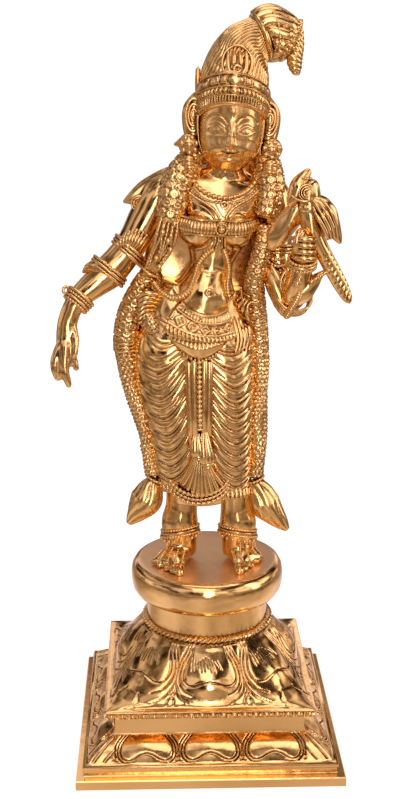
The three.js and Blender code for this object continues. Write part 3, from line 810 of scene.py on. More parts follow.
# body
body = {
    "torso": [
        (-8, -4, 254, 33, 22), (-6.5, -4, 268, 34, 23), (-4.5, -4, 283, 28, 20),
        (-1, -6, 295, 18.5, 17.5), (1.5, -5.5, 307, 13, 12.8), (3, -5.5, 317, 15, 13),
        (5, -5, 329, 20.5, 14), (7.5, -4, 342, 25, 14), (8.5, -2, 353, 31, 12.5),
        (9.5, -1, 361, 23, 10.5), (10.5, -3, 367, 11.5, 10), (11.5, -5, 380, 9.8, 9.6),
    ],
    "breasts": [(-6.5, 331.5), (16.8, 331)],
    "breast": [(-8, 10.6, 10.4), (-14, 10.8, 10.4), (-20, 8.6, 8.2), (-24.2, 3.2, 3)],
    "rightArm": [
        (-12, 0, 358, 7, 8), (-27.5, -1, 351.5, 10.5, 11), (-36, -2, 338, 10.6, 11),
        (-44.5, -4, 323, 9.4, 10), (-52, -6, 313, 9.6, 9.6), (-59.5, -8, 305, 10, 9.6),
        (-67, -10.5, 299.2, 8.6, 8.6), (-74.8, -13, 293, 7.2, 6.8), (-80, -15, 286.8, 6.2, 5.2),
        (-84, -16, 277, 6, 4.4), (-84.8, -17.5, 267, 6.4, 4), (-85.6, -19.5, 258, 5.2, 3.4),
    ],
    "rightFingers": [
        ([(-87, -18, 266), (-92, -20.5, 253), (-90, -20, 241)], 3.2),
        ([(-85, -20, 266), (-86, -22.5, 250), (-83.5, -21.5, 237)], 2.8),
        ([(-83.6, -18, 267), (-81, -20, 256), (-78.8, -20, 247)], 2.6),
        ([(-81, -16, 276), (-79, -20.5, 267), (-79.5, -23, 257)], 2.2),
    ],
    "leftUpperArm": [
        (26, -1, 358, 7, 8), (38.6, -1, 351, 10, 10.5), (41, -3, 334, 9.4, 9.6),
        (41.4, -5, 316, 9.4, 9.4), (43.6, -9, 299, 9.6, 9.2), (46.6, -13, 287.6, 7.4, 8.2),
    ],
    "leftForearm": [
        (48.5, -12, 287, 6.6, 7.4), (50, -21, 294, 9, 8.6), (52.5, -28, 303, 8.6, 8),
        (53.5, -33, 313, 6.6, 6.4), (54, -36, 321, 6, 5.4), (54, -37, 328, 6.6, 4.6),
        (52.5, -36.5, 335, 4.6, 3.4),
    ],
    # side, then x, y of the ankle, the heel and the tips of the big and the last toe
    "feet": [
        (-1, (-16, -5), (-14, 1), (-18.6, -33), (-36.4, -14)),
        (1, (18, -6), (17.4, 1), (19.6, -32), (36.6, -8)),
    ],
    "voxel": 1.15,
    "smoothing": 4,
    "faces": 72000,
}


def toeTip(big, last, share):
    # the tips of the toes stand on a shallow curve
    x, y = between(big, last, share)
    return x, y - 1.6 * math.sin(math.pi * share)


def foot(side, ankle, heel, big, last):
    middle = between(big, last, 0.5)
    sole = [(*between(heel, middle, share), z, *size) for share, z, size in (
        (-0.16, 123, (6, 5)), (0, 124.5, (8, 8)), (0.4, 124.5, (9, 7.4)), (0.9, 120, (11.5, 3.4)))]
    shin = [
        (*ankle, 178, 9.8, 9.6), (ankle[0] + 0.3 * side, ankle[1], 156, 9.9, 9.4),
        (ankle[0] + 1.4 * side, ankle[1], 142, 11.6, 10.2), (*between(ankle, heel, 0.5), 122, 8.4, 9.4),
    ]
    pieces = [limb("sole", sole, 32, 24, reference=upward, cap=3), limb("shin", shin, 40, 30)]
    for k in range(5):
        tip = toeTip(big, last, k / 4)
        r = 3.2 if k == 0 else 2.3 - 0.1 * k
        toe = [(*between(tip, heel, 0.3), 121, r, r), (*tip, 119.6, r, r * 0.9)]
        pieces.append(limb("toe", toe, 16, 10, reference=upward, cap=r))
    return pieces


def skinBody():
    pieces = [
        limb("torso", body["torso"], 96, 120),
        limb("arm", body["rightArm"], 40, 110, cap=2),
        limb("upperArm", body["leftUpperArm"], 40, 60),
        limb("forearm", body["leftForearm"], 40, 50, reference=sideward, cap=2),
    ]
    for x, z in body["breasts"]:
        stations = [(x, y, z, *size) for y, *size in body["breast"]]
        pieces.append(limb("breast", stations, 32, 20, reference=upward, cap=3))
    for joints, r in body["rightFingers"]:
        sizes = (r, r * 0.95, r * 0.72)
        pieces.append(limb("finger", [(*p, q, q) for p, q in zip(joints, sizes)], 16, 24, cap=r * 0.7))
    for row in body["feet"]:
        pieces += foot(*row)
    return pieces


bodyPiece = melted(joined("body", skinBody()), body["voxel"], body["smoothing"])
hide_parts("figure")
finish(bodyPiece, polished, faces=body["faces"])
print("stage: body")

# head
head = {
    "chin": 369,
    "place": (12.5, -8),
    "tilt": 0.12,
    "stations": [
        (-1.2, -9, 368.9, 5.0, 6.0), (-1.1, -7.2, 371.0, 11.0, 12.8), (-1.0, -5, 374.8, 15.4, 16.6),
        (-0.6, -2, 381, 18.0, 19.0), (0, 0, 389, 18.9, 20.4), (0.4, 1, 402, 18.8, 20.8),
        (0.6, 2, 411, 18, 20),
    ],
    "faces": 46000,
    # height and how far the nose stands out, then height and half its width
    "nose": [(379.2, 0), (380.6, 1.5), (381.8, 3.5), (383.4, 4.0), (386.5, 2.8), (391, 1.6), (396, 0)],
    "noseWidth": [(381, 1.7), (383, 1.65), (387, 1.5), (394, 1.8)],
    # width and depth of the line (a ridge is below nought), then its stations from the middle outwards
    "eyeLines": [
        (0.42, -0.55, [(3.6, 389.2), (5.8, 391.4), (8.4, 392.1), (11.0, 391.3), (13.4, 389.4)]),
        (0.36, -0.4, [(3.6, 389.2), (6.0, 388.0), (8.4, 387.7), (10.8, 388.2), (13.2, 389.3)]),
        (0.4, -0.3, [(4.6, 392.2), (7.0, 393.9), (9.6, 394.2), (12.6, 392.6)]),
        (0.55, 0.6, [(2.4, 394.6), (4.8, 397.2), (8.2, 398.6), (11.6, 397.8), (15.0, 394.6)]),
    ],
    "parting": [(-4.6, 378.2), (-2.4, 377.2), (0, 377.4), (2.4, 377.2), (4.6, 378.2)],
    # mounds on both sides: distance from the middle, height, half sizes, how far they stand out
    "sideMounds": [
        (2.0, 382.0, 0.9, 1.0, 0.75), (8.2, 391.0, 6.8, 4.8, -0.7), (8.3, 390.0, 4.6, 2.5, 1.0),
        (8.4, 389.8, 1.3, 1.2, 0.35), (1.5, 378.4, 1.8, 0.85, 1.2), (10.4, 382.0, 7.0, 8.0, 0.7),
    ],
    "middleMounds": [
        (0, 376.6, 6.0, 3.6, 0.6), (0, 376.2, 2.4, 1.05, 1.6), (0, 371.6, 4.8, 2.4, 0.6),
        (0, 374.0, 2.6, 0.8, -0.4), (0, 401.2, 0.9, 2.2, 0.9),
    ],
    "rim": [(18.7, -4.6, 406), (19.1, -5.0, 398), (19.1, -5.4, 390), (18.0, -5.8, 382), (15.8, -6.6, 375.6)],
    # the ear as for side 1
    "ear": [
        (18.4, 1, 409, 2.6, 3), (20.6, 1.5, 405, 4.2, 4.6), (22.6, 2, 399, 6.0, 5.6),
        (22.8, 2, 391, 5.8, 5.4), (21.6, 0, 382, 4.8, 4),
    ],
    "earFolds": [(6.4, 1.0), (4.3, 0.9), (2.3, 0.8)],
    "stud": (24.2, 379.4),
    "studBeads": 7,
    "ringLock": [(23.6, -3.6, 374), (23.8, -4.2, 369), (23.2, -4.6, 364)],
}


def tilted(co, angle=None, run=None):
    lift = co[:, 2] - head["chin"]
    turn = head["tilt"]
    return np.stack([
        head["place"][0] + co[:, 0] * math.cos(turn) + lift * math.sin(turn) * 0.35,
        head["place"][1] + co[:, 1],
        head["chin"] + lift - co[:, 0] * math.sin(turn) * 0.5,
    ], 1)


def faceForm(co, angle, run):
    # calm, regular features worked up from the smooth head
    x, z = co[:, 0] + 0.6, co[:, 2]
    side = np.abs(x)
    out = np.interp(z, *zip(*head["nose"])) * hump(x, 0, np.interp(z, *zip(*head["noseWidth"])))
    for row in head["sideMounds"]:
        out += mound(side, z, *row)
    for row in head["middleMounds"]:
        out += mound(x, z, *row)
    for width, depth, line in head["eyeLines"]:
        out += engraved(side, z, [curved(line)], width, depth)
    out += engraved(x, z, [curved(head["parting"])], 0.45, 1.1)
    facing = np.clip((-co[:, 1] - 4) / 8, 0, 1)
    co = co.copy()
    co[:, 1] -= out * facing
    return tilted(co)


def faceRim(side):
    # the edge of the hair at the temple and the cheek
    line = evenly([(x * side - 0.6, y, z) for x, y, z in head["rim"]], 2)
    return cord("faceRim", line, 0.85, 8, 0.8, warp=tilted, taper=(0.7, 0.6, 0.3))


def ear(side):
    pieces = [limb("ear", [(x * side, *rest) for x, *rest in head["ear"]], 40, 60, cap=2, warp=tilted)]
    for r, width in head["earFolds"]:
        loop = [((22.2 + r * 0.72 * math.cos(a)) * side, -4.3 + 0.12 * r, 396.5 + r * 1.45 * math.sin(a))
                for a in np.linspace(-2.0, 3.4, 14)]
        pieces.append(cord("earFold", loop, width, 8, 0.8, warp=tilted))
    x, z = head["stud"][0] * side, head["stud"][1]
    pieces.append(ballOf("stud", (x, -2.4, z), (6.4, 4.0, 6.6), 24, 16, tilted))
    pieces.append(ballOf("studHeart", (x, -5.4, z), (2.3, 2.0, 2.3), warp=tilted))
    for k in range(head["studBeads"]):
        a = 2 * math.pi * k / head["studBeads"] + 0.3
        centre = (x + 4.3 * math.cos(a), -5.0, z + 4.4 * math.sin(a))
        pieces.append(ballOf("studBead", centre, (1.75, 1.7, 1.75), warp=tilted))
    tip = [(28 * side, -1.6, 380.2, 3.4, 3), (32.0 * side - 1.2, -1.4, 378.6, 0.6, 0.6)]
    pieces.append(limb("studTip", tip, 12, 12, cap=0.6, warp=tilted))
    lock = [(x * side, y, z) for x, y, z in head["ringLock"]]
    pieces.append(ribbedCord("ringLock", lock, 4.6, 2.3, 20, 0.22, tilted))
    return pieces


face = thinned(limb("face", head["stations"], 448, 248, warp=faceForm), head["faces"])
finish(joined("head", [face, faceRim(-1), faceRim(1)] + ear(-1) + ear(1)), satin)
print("stage: head")

# headbands
bands = {
    "stations": [
        (0, 1.6, 391.4, 19, 20.8), (0, 1.6, 393.0, 21, 23.0), (0.1, 1.5, 398, 21.4, 23.4),
        (0.3, 1.3, 403, 21.5, 23.4), (0.45, 1.2, 407.6, 21.3, 23.0), (0.6, 1.1, 411.0, 20.7, 22.2),
        (0.7, 1.0, 412.4, 18.8, 20.2),
    ],
    "arch": 12.2,
    "beads": (2.6, 7.7, 12.3, 19.2),  # how far up the plain beads between the rows are
    "faces": 42000,
}


def bandRelief(t, angle, run):
    # from below: a row of upright ribs, a row of dashes, a row of blocks with a gem in the middle
    def row(low, high):
        return window(run, low, high, 0.35)
    across = angle * 22
    out = sum(0.8 * hump(run, at, 0.45) for at in bands["beads"])
    out = out + row(3.2, 7.2) * (1.4 * np.abs(np.cos(40 * angle)) ** 0.6 - 0.9)
    dashes = np.abs(np.cos(24 * angle)) ** 0.8 * np.sqrt(np.clip(1 - ((run - 10.0) / 1.8) ** 2, 0, 1))
    heart = np.sqrt(np.clip(1 - np.hypot(across / 3.4, (run - 10.0) / 2.1) ** 2, 0, 1))
    out += (np.where(np.abs(across) > 3.6, 1.6 * dashes, 1.9 * heart) - 0.7) * row(8.2, 11.8)
    blocks = (np.abs(np.cos(10.5 * angle)) > 0.42) * row(13.6, 18.0)
    gem = np.sqrt(np.clip(1 - np.hypot(across / 4.6, (run - 15.8) / 3.2) ** 4, 0, 1))
    return out + 1.1 * blocks * (np.abs(across) > 6.0) + 2.2 * gem - 0.4 * row(12.9, 18.6)


def bandArch(co, angle, run):
    co = co.copy()
    co[:, 2] += bands["arch"] * np.cos(angle)
    return tilted(co)


bandPiece = limb("headbands", bands["stations"], 704, 120, bandRelief, warp=bandArch)
finish(bandPiece, chased, faces=bands["faces"])

# hair
hair = {
    "mass": [
        (13.8, -5, 402, 19.8, 20.6), (14.8, -4.5, 412, 20, 21), (16, -4, 420, 19.6, 20.6),
        (18.2, -3, 428, 17.8, 19.4), (22, -1.4, 434.4, 15.8, 17.6), (26.8, 0, 438.2, 13.8, 15.4),
        (31, 1, 440.5, 12.6, 13.6), (33, 1, 441.3, 11, 12),
    ],
    "strands": 50,
    "massFaces": 62000,
    "bun": [
        (29.5, 0.8, 440, 9.4, 10.4), (32.4, 1, 441, 11.6, 12.4), (34.0, 1.1, 441.8, 14.4, 14.6),
        (36.2, 1.3, 443.0, 15.4, 15.8), (40.2, 1.7, 442.4, 13.9, 16.4), (44.8, 2, 440.6, 12.6, 16.6),
        (49.0, 2, 438.4, 12.0, 15.2), (50.2, 2, 437.8, 9.2, 12.0), (50.8, 2, 437.5, 5.0, 7.0),
    ],
    "tassel": [
        (48.6, -3, 452, 1.8, 1.8), (51.4, -5, 446, 2.8, 2.6), (51.4, -6, 437, 3.8, 3.2),
        (49.8, -6.4, 429.4, 4.6, 3.6), (50.8, -6, 423, 3.4, 2.8), (52.4, -5.6, 419.6, 0.9, 0.9),
    ],
    "pleatBeads": [(36.8, -9.2, 455.6), (39.4, -13.6, 449), (40.6, -15.4, 441), (40.2, -13.8, 433)],
    "pin": [(-5.6, -6, 405), (-6.0, -6, 415), (-5.6, -6, 425)],
    "ringAxis": (0.94, 0.16, 0.36),
    # centre, half sizes, radius, beads, strands of rope
    "rings": [
        ((31, 1, 440.5), 13.2, 15.2, 1.75, 0, 0), ((33.6, 1.2, 441.6), 12.6, 14.2, 1.15, 44, 0),
        ((29.0, 0.8, 439.6), 12.8, 14.6, 0.8, 0, 40),
    ],
    "frillBeads": 15,
    "knotFaces": 42000,
    "emblem": (15.9, 427.4),
    "cup": [(4.9, 6.6), (5.2, 2.4), (4.8, -2.6), (2.9, -6.0)],
}


def strandRelief(t, angle, run):
    flow = angle + 0.07 * np.sin(run / 3.6 + 2.6 * angle) + 0.03 * np.sin(run / 1.7 + 6 * angle)
    share = np.mod(flow * hair["strands"] / (2 * np.pi), 1)
    return np.sin(np.pi * share) ** 0.6 - 0.75


def bunRelief(t, angle, run):
    ribs = np.abs(np.cos(6 * angle + 0.07 * run)) ** 0.55
    out = 3.1 * (ribs - 0.6) * np.clip(run / 3, 0, 1) * np.clip((19 - run) / 3, 0, 1)
    return out + hump(run, 20.4, 1.5) * (0.8 + 0.7 * np.cos(26 * angle))


def tasselRelief(t, angle, run):
    return 0.55 * (np.abs(np.sin(np.pi * (run / 3.0 + 0.8 * np.sin(angle + 0.6)))) ** 0.7 - 0.6)


def emblem(tree):
    # a flat ring with a cup and two tongues in it, over a small loop
    cx, cz = hair["emblem"]

    def laid(points, lift, passes=2):
        return eased(resting(tree, [(cx + x, cz + z) for x, z in points], lift), passes)
    oval = [(8.3 * math.cos(a), 9.4 * math.sin(a)) for a in np.linspace(-1.35, 2 * math.pi - 1.79, 40)]
    cup = [(-x, z) for x, z in hair["cup"]] + [(0, -7.2)] + hair["cup"][::-1]
    loop = [(1.9 * math.cos(a), -3.0 + 1.9 * math.sin(a)) for a in np.linspace(0, 2 * math.pi, 14)]
    pieces = [
        cord("emblemRing", laid(oval, 0.7), 0.95, 8, 0.8),
        cord("emblemCup", laid(cup, 1.2), 1.0, 12, 0.8, taper=(0.8, 1.9, 0.8)),
    ]
    for dx in (-1.7, 1.7):
        tongue = [(dx * 1.2, -1.4), (dx * 1.05, 3.04), (dx * 0.8, 7.6)]
        pieces.append(cord("emblemTongue", laid(tongue, 1.3, 1), 1.1, 12, 0.8, taper=(1.2, 1.35, 0.5)))
    return pieces + [cord("emblemLoop", laid(loop, 1.6, 1), 0.85, 8, 0.7)]


def frill():
    # beads on the edge of the bun, where it is seen
    beads = []
    for k in range(hair["frillBeads"]):
        a = 2 * math.pi * k / hair["frillBeads"]
        u, v = math.cos(a), math.sin(a)
        if v > -0.5:
            centre = (48.8 + 1.19 * v, 2 + 15.2 * u, 438 + 12.8 * v)
            beads.append(ballOf("frillBead", centre, (1.2, 1.2, 1.2), 10, 8))
    return beads


hairPiece = joined("hair", [limb("hairMass", hair["mass"], 304, 116, strandRelief, cap=1)])
knotParts = [limb("bun", hair["bun"], 144, 80, bunRelief)]
for centre, *row in hair["rings"]:
    knotParts.append(hoop("hairRing", centre, hair["ringAxis"], *row))
knotParts += [
    limb("tassel", hair["tassel"], 48, 110, tasselRelief, cap=0.8),
    beadString("pleatBeads", hair["pleatBeads"], 0.85, 8, 3.0),
    cord("hairPin", hair["pin"], 1.5, 8, 2),
]
knotParts += frill() + emblem(skinOf([hairPiece]))
finish(hairPiece, chased, faces=hair["massFaces"])
finish(joined("topKnot", knotParts), chased, faces=hair["knotFaces"])
print("stage: hair")

bodyTree = skinOf([bodyPiece, dressPiece])


def onBody(points, lift=0.0, passes=2, step=2.0):
    p = np.array(points, float)
    line = evenly(np.stack([p[:, 0], np.zeros(len(p)), p[:, 1]], 1), step)
    return eased(resting(bodyTree, [(a[0], a[2]) for a in line], lift), passes)


# garlands
garland = {
    "rightShoulder": [
        (-7, -7, 379, 5.5, 4.6), (-11, -7, 370, 8.0, 6.6), (-18, -10, 359, 9.4, 7.6),
        (-21.5, -14, 346, 8.6, 6.6), (-23.2, -15.8, 335, 6.4, 5.0),
    ],
    "rightHip": [
        (-35, -10, 305, 5.4, 5), (-41.5, -8.6, 293.5, 6.4, 6), (-47.2, -7.4, 279, 7.4, 6.2),
        (-49.6, -7, 263, 7.6, 6.2), (-48.8, -7, 247, 6.6, 5.6), (-45, -7.4, 230, 5.4, 5.0),
        (-40.6, -8, 213, 4.8, 4.6), (-36.8, -8.2, 196, 4.6, 4.4), (-33.8, -9, 176, 4.6, 4.2),
    ],
    "leftShoulder": [
        (33, -6, 377, 5.4, 4.6), (35, -7, 368, 8.0, 6.6), (37, -10, 355, 8.0, 6.2),
        (34, -15, 338, 6.6, 5.4),
    ],
    "leftHip": [
        (33.5, -15, 335, 4.6, 4.2), (32.4, -17.4, 323, 5.2, 4.8), (29.6, -17.2, 311, 5.8, 5.2),
        (27.2, -15.2, 300, 6.2, 5.4), (28.4, -11.5, 287, 6.2, 5.4), (30.4, -9.4, 272, 5.8, 5.2),
        (31.6, -8, 256, 5.6, 5.0), (31.8, -8, 232, 5.4, 4.8), (31.6, -8, 208, 5.2, 4.6),
        (30.6, -9, 174, 4.8, 4.2),
    ],
    # part, sides, rows, rounding, then flowers round it, their size, their depth, the run where grains begin
    "flowers": [
        ("rightShoulder", 64, 84, 3, (8, 6.0, 1.0)), ("rightHip", 56, 264, 2, (7, 5.6, 0.95, 52)),
        ("leftShoulder", 64, 84, 3, (8, 5.2, 1.0)), ("leftHip", 56, 320, 2, (7, 5.0, 0.9, 84)),
    ],
    # part, share of its length, half width, number of rings
    "clasps": [
        ("rightHip", 0.40, 6.9, 3), ("rightHip", 0.88, 4.4, 2), ("leftHip", 0.56, 5.1, 3),
        ("leftHip", 0.82, 4.6, 3),
    ],
    # root, middle and tip of the buds, and half their width
    "buds": [
        ((-32.4, -9, 174.5), (-38.8, -9, 160), (-50, -10, 144.5), 9.6),
        ((29.6, -9, 173.5), (36.4, -9, 156.6), (51, -10, 139.4), 9.4),
    ],
    "grains": (11, 2.9),  # how many round the garland, and their size
    "rowShare": 0.88,
    "faces": 88000,
}


def rosettes(columns, size, depth, grainsFrom=1e9):
    # rows of little ringed flowers, then plain grains below the clasp
    def relief(t, angle, run):
        def lattice(count, size):
            pitch = size * garland["rowShare"]
            row = np.round(run / pitch)
            turn = angle * count / (2 * np.pi) + 0.5 * np.mod(row, 2)
            return np.hypot((np.mod(turn + 0.5, 1) - 0.5) * size, run - row * pitch) / size
        d = lattice(columns, size)
        flower = hump(d, 0.34, 0.10) + 1.1 * hump(d, 0, 0.15) - 0.55
        count, width = garland["grains"]
        row = np.round(run / (width * garland["rowShare"]))
        uneven = 0.75 + 0.45 * np.sin(12.9 * row + 5.3 * np.round(angle * 2))
        grain = 1.5 * uneven * np.sqrt(np.clip(1 - (lattice(count, width) / 0.5) ** 2, 0, 1)) - 0.8
        return depth * np.where(run < grainsFrom, flower * 1.25, grain)
    return relief


def clasp(stations, t, size, count):
    s = np.asarray(stations, float)
    pieces = []
    for k in range(count):
        at = np.array([t + (k - (count - 1) / 2) * 2.3 / 130])
        p = onCurve(s[:, :3], at)[0]
        d = onCurve(s[:, :3], at + 1e-3)[0] - p
        pieces.append(hoop("clasp", p, d, size, size * 0.88, 1.0, rope=14 if k == 1 else 0, segments=56))
    return pieces


def lotusBud(root, belly, tip, r):
    def petals(t, angle, run):
        fold = np.abs(np.cos(3 * (angle + 0.5 * np.sin(4 * t)))) ** 0.55
        return (1.5 * (fold - 0.62)) * np.clip(t / 0.15, 0, 1) * np.clip((1 - t) / 0.12, 0, 1)
    places = (root, between(root, belly, 0.5), belly, between(belly, tip, 0.5), tip)
    stations = [(*place, r * size, r * size) for place, size in zip(places, (0.42, 0.82, 1, 0.66, 0.16))]
    return [limb("bud", stations, 64, 60, petals, cap=1.0),
            hoop("budCollar", root, np.subtract(belly, root), r * 0.62, r * 0.58, 0.95, beads=16)]


hung = [limb(part, garland[part], sides, rows, rosettes(*flowers), cap=cap)
        for part, sides, rows, cap, flowers in garland["flowers"]]
for part, *row in garland["clasps"]:
    hung += clasp(garland[part], *row)
for row in garland["buds"]:
    hung += lotusBud(*row)
finish(joined("garlands", hung), chased, faces=garland["faces"])

# the gathered cords between shoulder and hip
gathered = {
    "cords": 7,
    "spread": 1.9,
    # x, y, z of the middle cord, and how far the others spread there
    "line": [
        (-22.3, -17.6, 341, 0.8), (-24.5, -18.0, 330, 1), (-27.4, -16.8, 320, 0.95),
        (-32, -14.8, 311, 0.75), (-36.4, -13, 303.5, 0.45),
    ],
    "radius": 1.35,
    "taper": (0.9, 1.2, 0.9),
    "knots": 6,
    "knotSize": (1.6, 1.3, 2.0),
}


def gatheredCord(k):
    dx = (k - 3) * gathered["spread"]
    stray = 0.9 * math.sin(2.1 * k)
    points = [[x + dx * share, y, z] for x, y, z, share in gathered["line"]]
    points[1][0] += stray
    points[2][0] -= stray
    points[2][1] += abs(k - 3) * 0.4

    def relief(t, angle, run):
        return 0.16 * np.sin(2 * np.pi * run / (2.3 + 0.2 * (k % 3)) + 2 * k + 2 * angle)
    return cord("gatheredCord", points, gathered["radius"], 12, 0.6, relief, taper=gathered["taper"])


def cordKnot(k):
    # small knots here and there along the cords
    z = 336 - 5.2 * k
    x = -23.4 - (338 - z) ** 2 * 0.0085 + (3.6, -3.0, 1.0)[k % 3]
    return ballOf("cordKnot", (x, -19.6 + (336 - z) * 0.08, z), gathered["knotSize"], 12, 8)


strands = [gatheredCord(k) for k in range(gathered["cords"])]
strands += [cordKnot(k) for k in range(gathered["knots"])]
strands.append(hoop("cordTie", (-34, -9.6, 306.5), (-0.5, 0.2, -0.8), 7.0, 6.0, 1.3, rope=26))
finish(joined("gatheredCords", strands), chased)
print("stage: garlands")

# girdle, apron and the pleated panel
girdle = {
    "band": [
        (-7.4, -4.6, 270.4, 34.6, 24.6), (-7, -4.6, 274, 36.6, 27), (-5.8, -4.7, 281, 34.6, 25.4),
        (-4.2, -4.8, 287.6, 29.5, 22.6), (-3.8, -4.8, 290.4, 27.6, 20.4),
    ],
    "gems": 28,
    "apron": [
        (-26, -20.6, 269.4, 2.0, 1.4), (-16, -25.2, 266.0, 3.8, 4.4), (-6, -27.6, 263.0, 4.2, 6.4),
        (3.4, -26.4, 264.8, 3.8, 4.8), (12.4, -22.0, 268.4, 2.0, 1.4),
    ],
    "apronEdge": [
        (-25, -22, 267.6), (-16, -26.4, 261.6), (-6, -28.6, 257.4), (3.2, -27.4, 260.4),
        (11.4, -23.6, 266.4),
    ],
    "apronDrops": 19,
    "panelBeads": [(-5.8, -28.4, 259), (-5.6, -27.8, 234), (-5.2, -27.0, 211)],
    "pleats": (-6.2, -3.0, 3.0, 6.2),
    "panelCore": [
        (-5.2, -16.6, 199, 8, 7), (-5.4, -17.4, 212, 9.4, 7.4), (-5.8, -18.2, 240, 9.8, 7.2),
        (-6, -18.4, 262, 10, 6.6),
    ],
    # x, y, top, low end, half width, how far the low end is turned aside
    "lobes": [(-7.4, -24.6, 210, 192, 4.6, 1.4), (-2.6, -25.2, 211, 186, 4.9, 2.4)],
    "fanPleats": 9,
    "fanCore": [
        (-5, -13, 160.5, 15, 6.5), (-5, -14.6, 172, 15.6, 8.2), (-5.2, -16.4, 184, 9.5, 8),
        (-5.4, -18, 198, 4, 6),
    ],
    "hemBeads": (1.7, 1.35, 1.5),
    # x, half width, height, number of frills
    "hems": [(-19, 11.6, 169, 17), (15, 12.2, 164, 21)],
    "faces": 82000,
}


def girdleRelief(t, angle, run):
    def row(low, high):
        return window(run, low, high, 0.4)
    out = row(0.2, 6.4) * (1.9 * np.abs(np.cos(46 * angle + 0.30 * run)) ** 0.6 - 0.8 + 0.14 * (6 - run))
    out = out + hump(run, 6.9, 0.6) + hump(run, 15.2, 0.6)
    turn = angle * girdle["gems"] / (2 * np.pi)
    across, up = (np.mod(turn, 1) - 0.5) * 7.2, run - 11.0
    far = np.hypot(across, up)
    ring = hump(far, 2.3, 0.55) + hump(far, 0, 0.9)
    lozenge = hump(np.abs(across) * 1.05 + np.abs(up), 2.9, 0.6) + hump(far, 0, 0.8)
    out += row(7.6, 14.4) * (np.where(np.mod(np.floor(turn), 2) > 0.5, ring, lozenge) - 0.35)
    out += row(15.9, 18.6) * (0.8 * np.abs(np.cos(52 * angle)) ** 0.6 - 0.4)
    out += 0.55 * row(18.8, 21.5)
    front = np.clip((0.57 + 0.005 * (21 - run) - np.abs(angle - 0.07)) / 0.05, 0, 1)
    return out * front - 3.2 * (1 - front)


def girdleTilt(co, angle, run):
    # the band hangs in a smile, deeper at its top edge
    co = co.copy()
    side = np.clip(angle - 0.1, -0.85, 0.85)
    co[:, 2] = 266 + (co[:, 2] - 270.4) * 0.86 + (10 + 0.45 * np.clip(run, 0, 22)) * side ** 2
    return co


def apronFringe(t, angle, run):
    below = np.clip(-np.cos(angle) * 1.2, 0, 1)  # the lower edge of a form that runs sideways
    edge = 0.6 * hump(np.cos(angle), -0.05, 0.16)
    return 1.5 * below * (np.abs(np.cos(run * np.pi / 2.5)) ** 0.6 - 0.5) + edge


def apronParts():
    edge = onCurve(girdle["apronEdge"], np.linspace(0, 1, girdle["apronDrops"]))
    parts = [limb("apron", girdle["apron"], 40, 140, apronFringe, upward, cap=2)]
    parts.append(beadString("apronBeads", edge, 0.95))
    for x, y, z in edge[1:-1]:
        parts.append(cord("apronDrop", [(x, y + 0.2, z - 0.6), (x * 0.99, y + 0.1, z - 3.4)], 0.95, 8, 0.9))
    return parts


def panelParts():
    parts = [beadString("panelBeads", girdle["panelBeads"], 1.7, 10, 1.8)]
    for dx in girdle["pleats"]:
        # the pressed pleats that the beads lie on
        far = abs(dx)
        line = [(-5.8 + dx, -27.6 + far * 0.22, 259 - far * 0.4), (-5.6 + dx * 0.96, -26.8 + far * 0.22, 232),
                (-5.2 + dx * 0.8, -25.8 + far * 0.2, 205)]
        parts.append(cord("panelPleat", line, 2.3, 12, 3))
    return parts + [limb("panelCore", girdle["panelCore"], 40, 40)]


def leafLobe(x, y, top, low, half, turn):
    def veins(t, angle, run):
        ribs = 1.3 * (np.abs(np.cos(7 * angle)) ** 0.7 - 0.4)
        rim = 0.7 * hump(t, 0.80, 0.035) + 0.7 * hump(t, 0.9, 0.03)
        return (ribs - 0.2) * np.clip((0.74 - t) / 0.05, 0, 1) + rim
    length = top - low
    stations = [
        (x, y, top, half * 0.35, 2), (x + turn * 0.3, y - 1.2, top - length * 0.35, half * 0.75, 3.2),
        (x + turn * 0.7, y - 1.6, top - length * 0.72, half, 3.4), (x + turn, y - 1.2, low, half * 0.25, 1.2),
    ]
    return limb("leafLobe", stations, 48, 60, veins, cap=1)


def fanParts():
    parts = [leafLobe(*row) for row in girdle["lobes"]]
    parts.append(hoop("lobeTie", (-5.2, -21, 211.6), (0, 0.1, 1), 5.8, 6.4, 1.2, rope=18))
    for k in range(girdle["fanPleats"]):
        a = 2 * k / (girdle["fanPleats"] - 1) - 1
        line = [(-4.8 + 2.2 * a, -24.0 + abs(a), 196), (-4.2 + 6.4 * a, -24.4 + 1.8 * a * a, 184),
                (-3.4 + 12.4 * a, -24.0 + 4.2 * a * a, 167.4 + 5.6 * a * a)]
        parts.append(cord("fanPleat", line, 1.4, 12, 1.2, taper=(0.8, 1.5, 1.9)))
    return parts + [limb("fanCore", girdle["fanCore"], 64, 50)]


def hemParts():
    parts = []
    for k, radius in enumerate(girdle["hemBeads"]):
        arc = [(-5.4 + 20.5 * math.sin(a), -10.5 - 13.0 * math.cos(a) - 0.3 * k,
                179.0 - 16.0 * math.cos(a) ** 0.9 + k * 2.7) for a in np.linspace(-1.40, 1.40, 21)]
        parts.append(beadString("hemBeads", arc, radius, 10))
    for x, half, z, count in girdle["hems"]:
        for a in np.linspace(-2.2, 2.2, count):
            px, py = x + half * math.sin(a), -6 - 11.4 * math.cos(a)
            line = [(px - 0.5, py + 0.6, z + 7), (px, py - 0.3, z + 2.5), (px + 0.4, py - 0.4, z - 0.8)]
            parts.append(cord("hemFrill", line, 1.3, 8, 0.9, taper=(0.7, 1.2, 1.4)))
    return parts


belt = limb("girdleBand", girdle["band"], 352, 64, girdleRelief, warp=girdleTilt)
sashPiece = joined("sash", [belt] + apronParts() + panelParts() + fanParts() + hemParts())
finish(sashPiece, chased, faces=girdle["faces"])
print("stage: girdle")

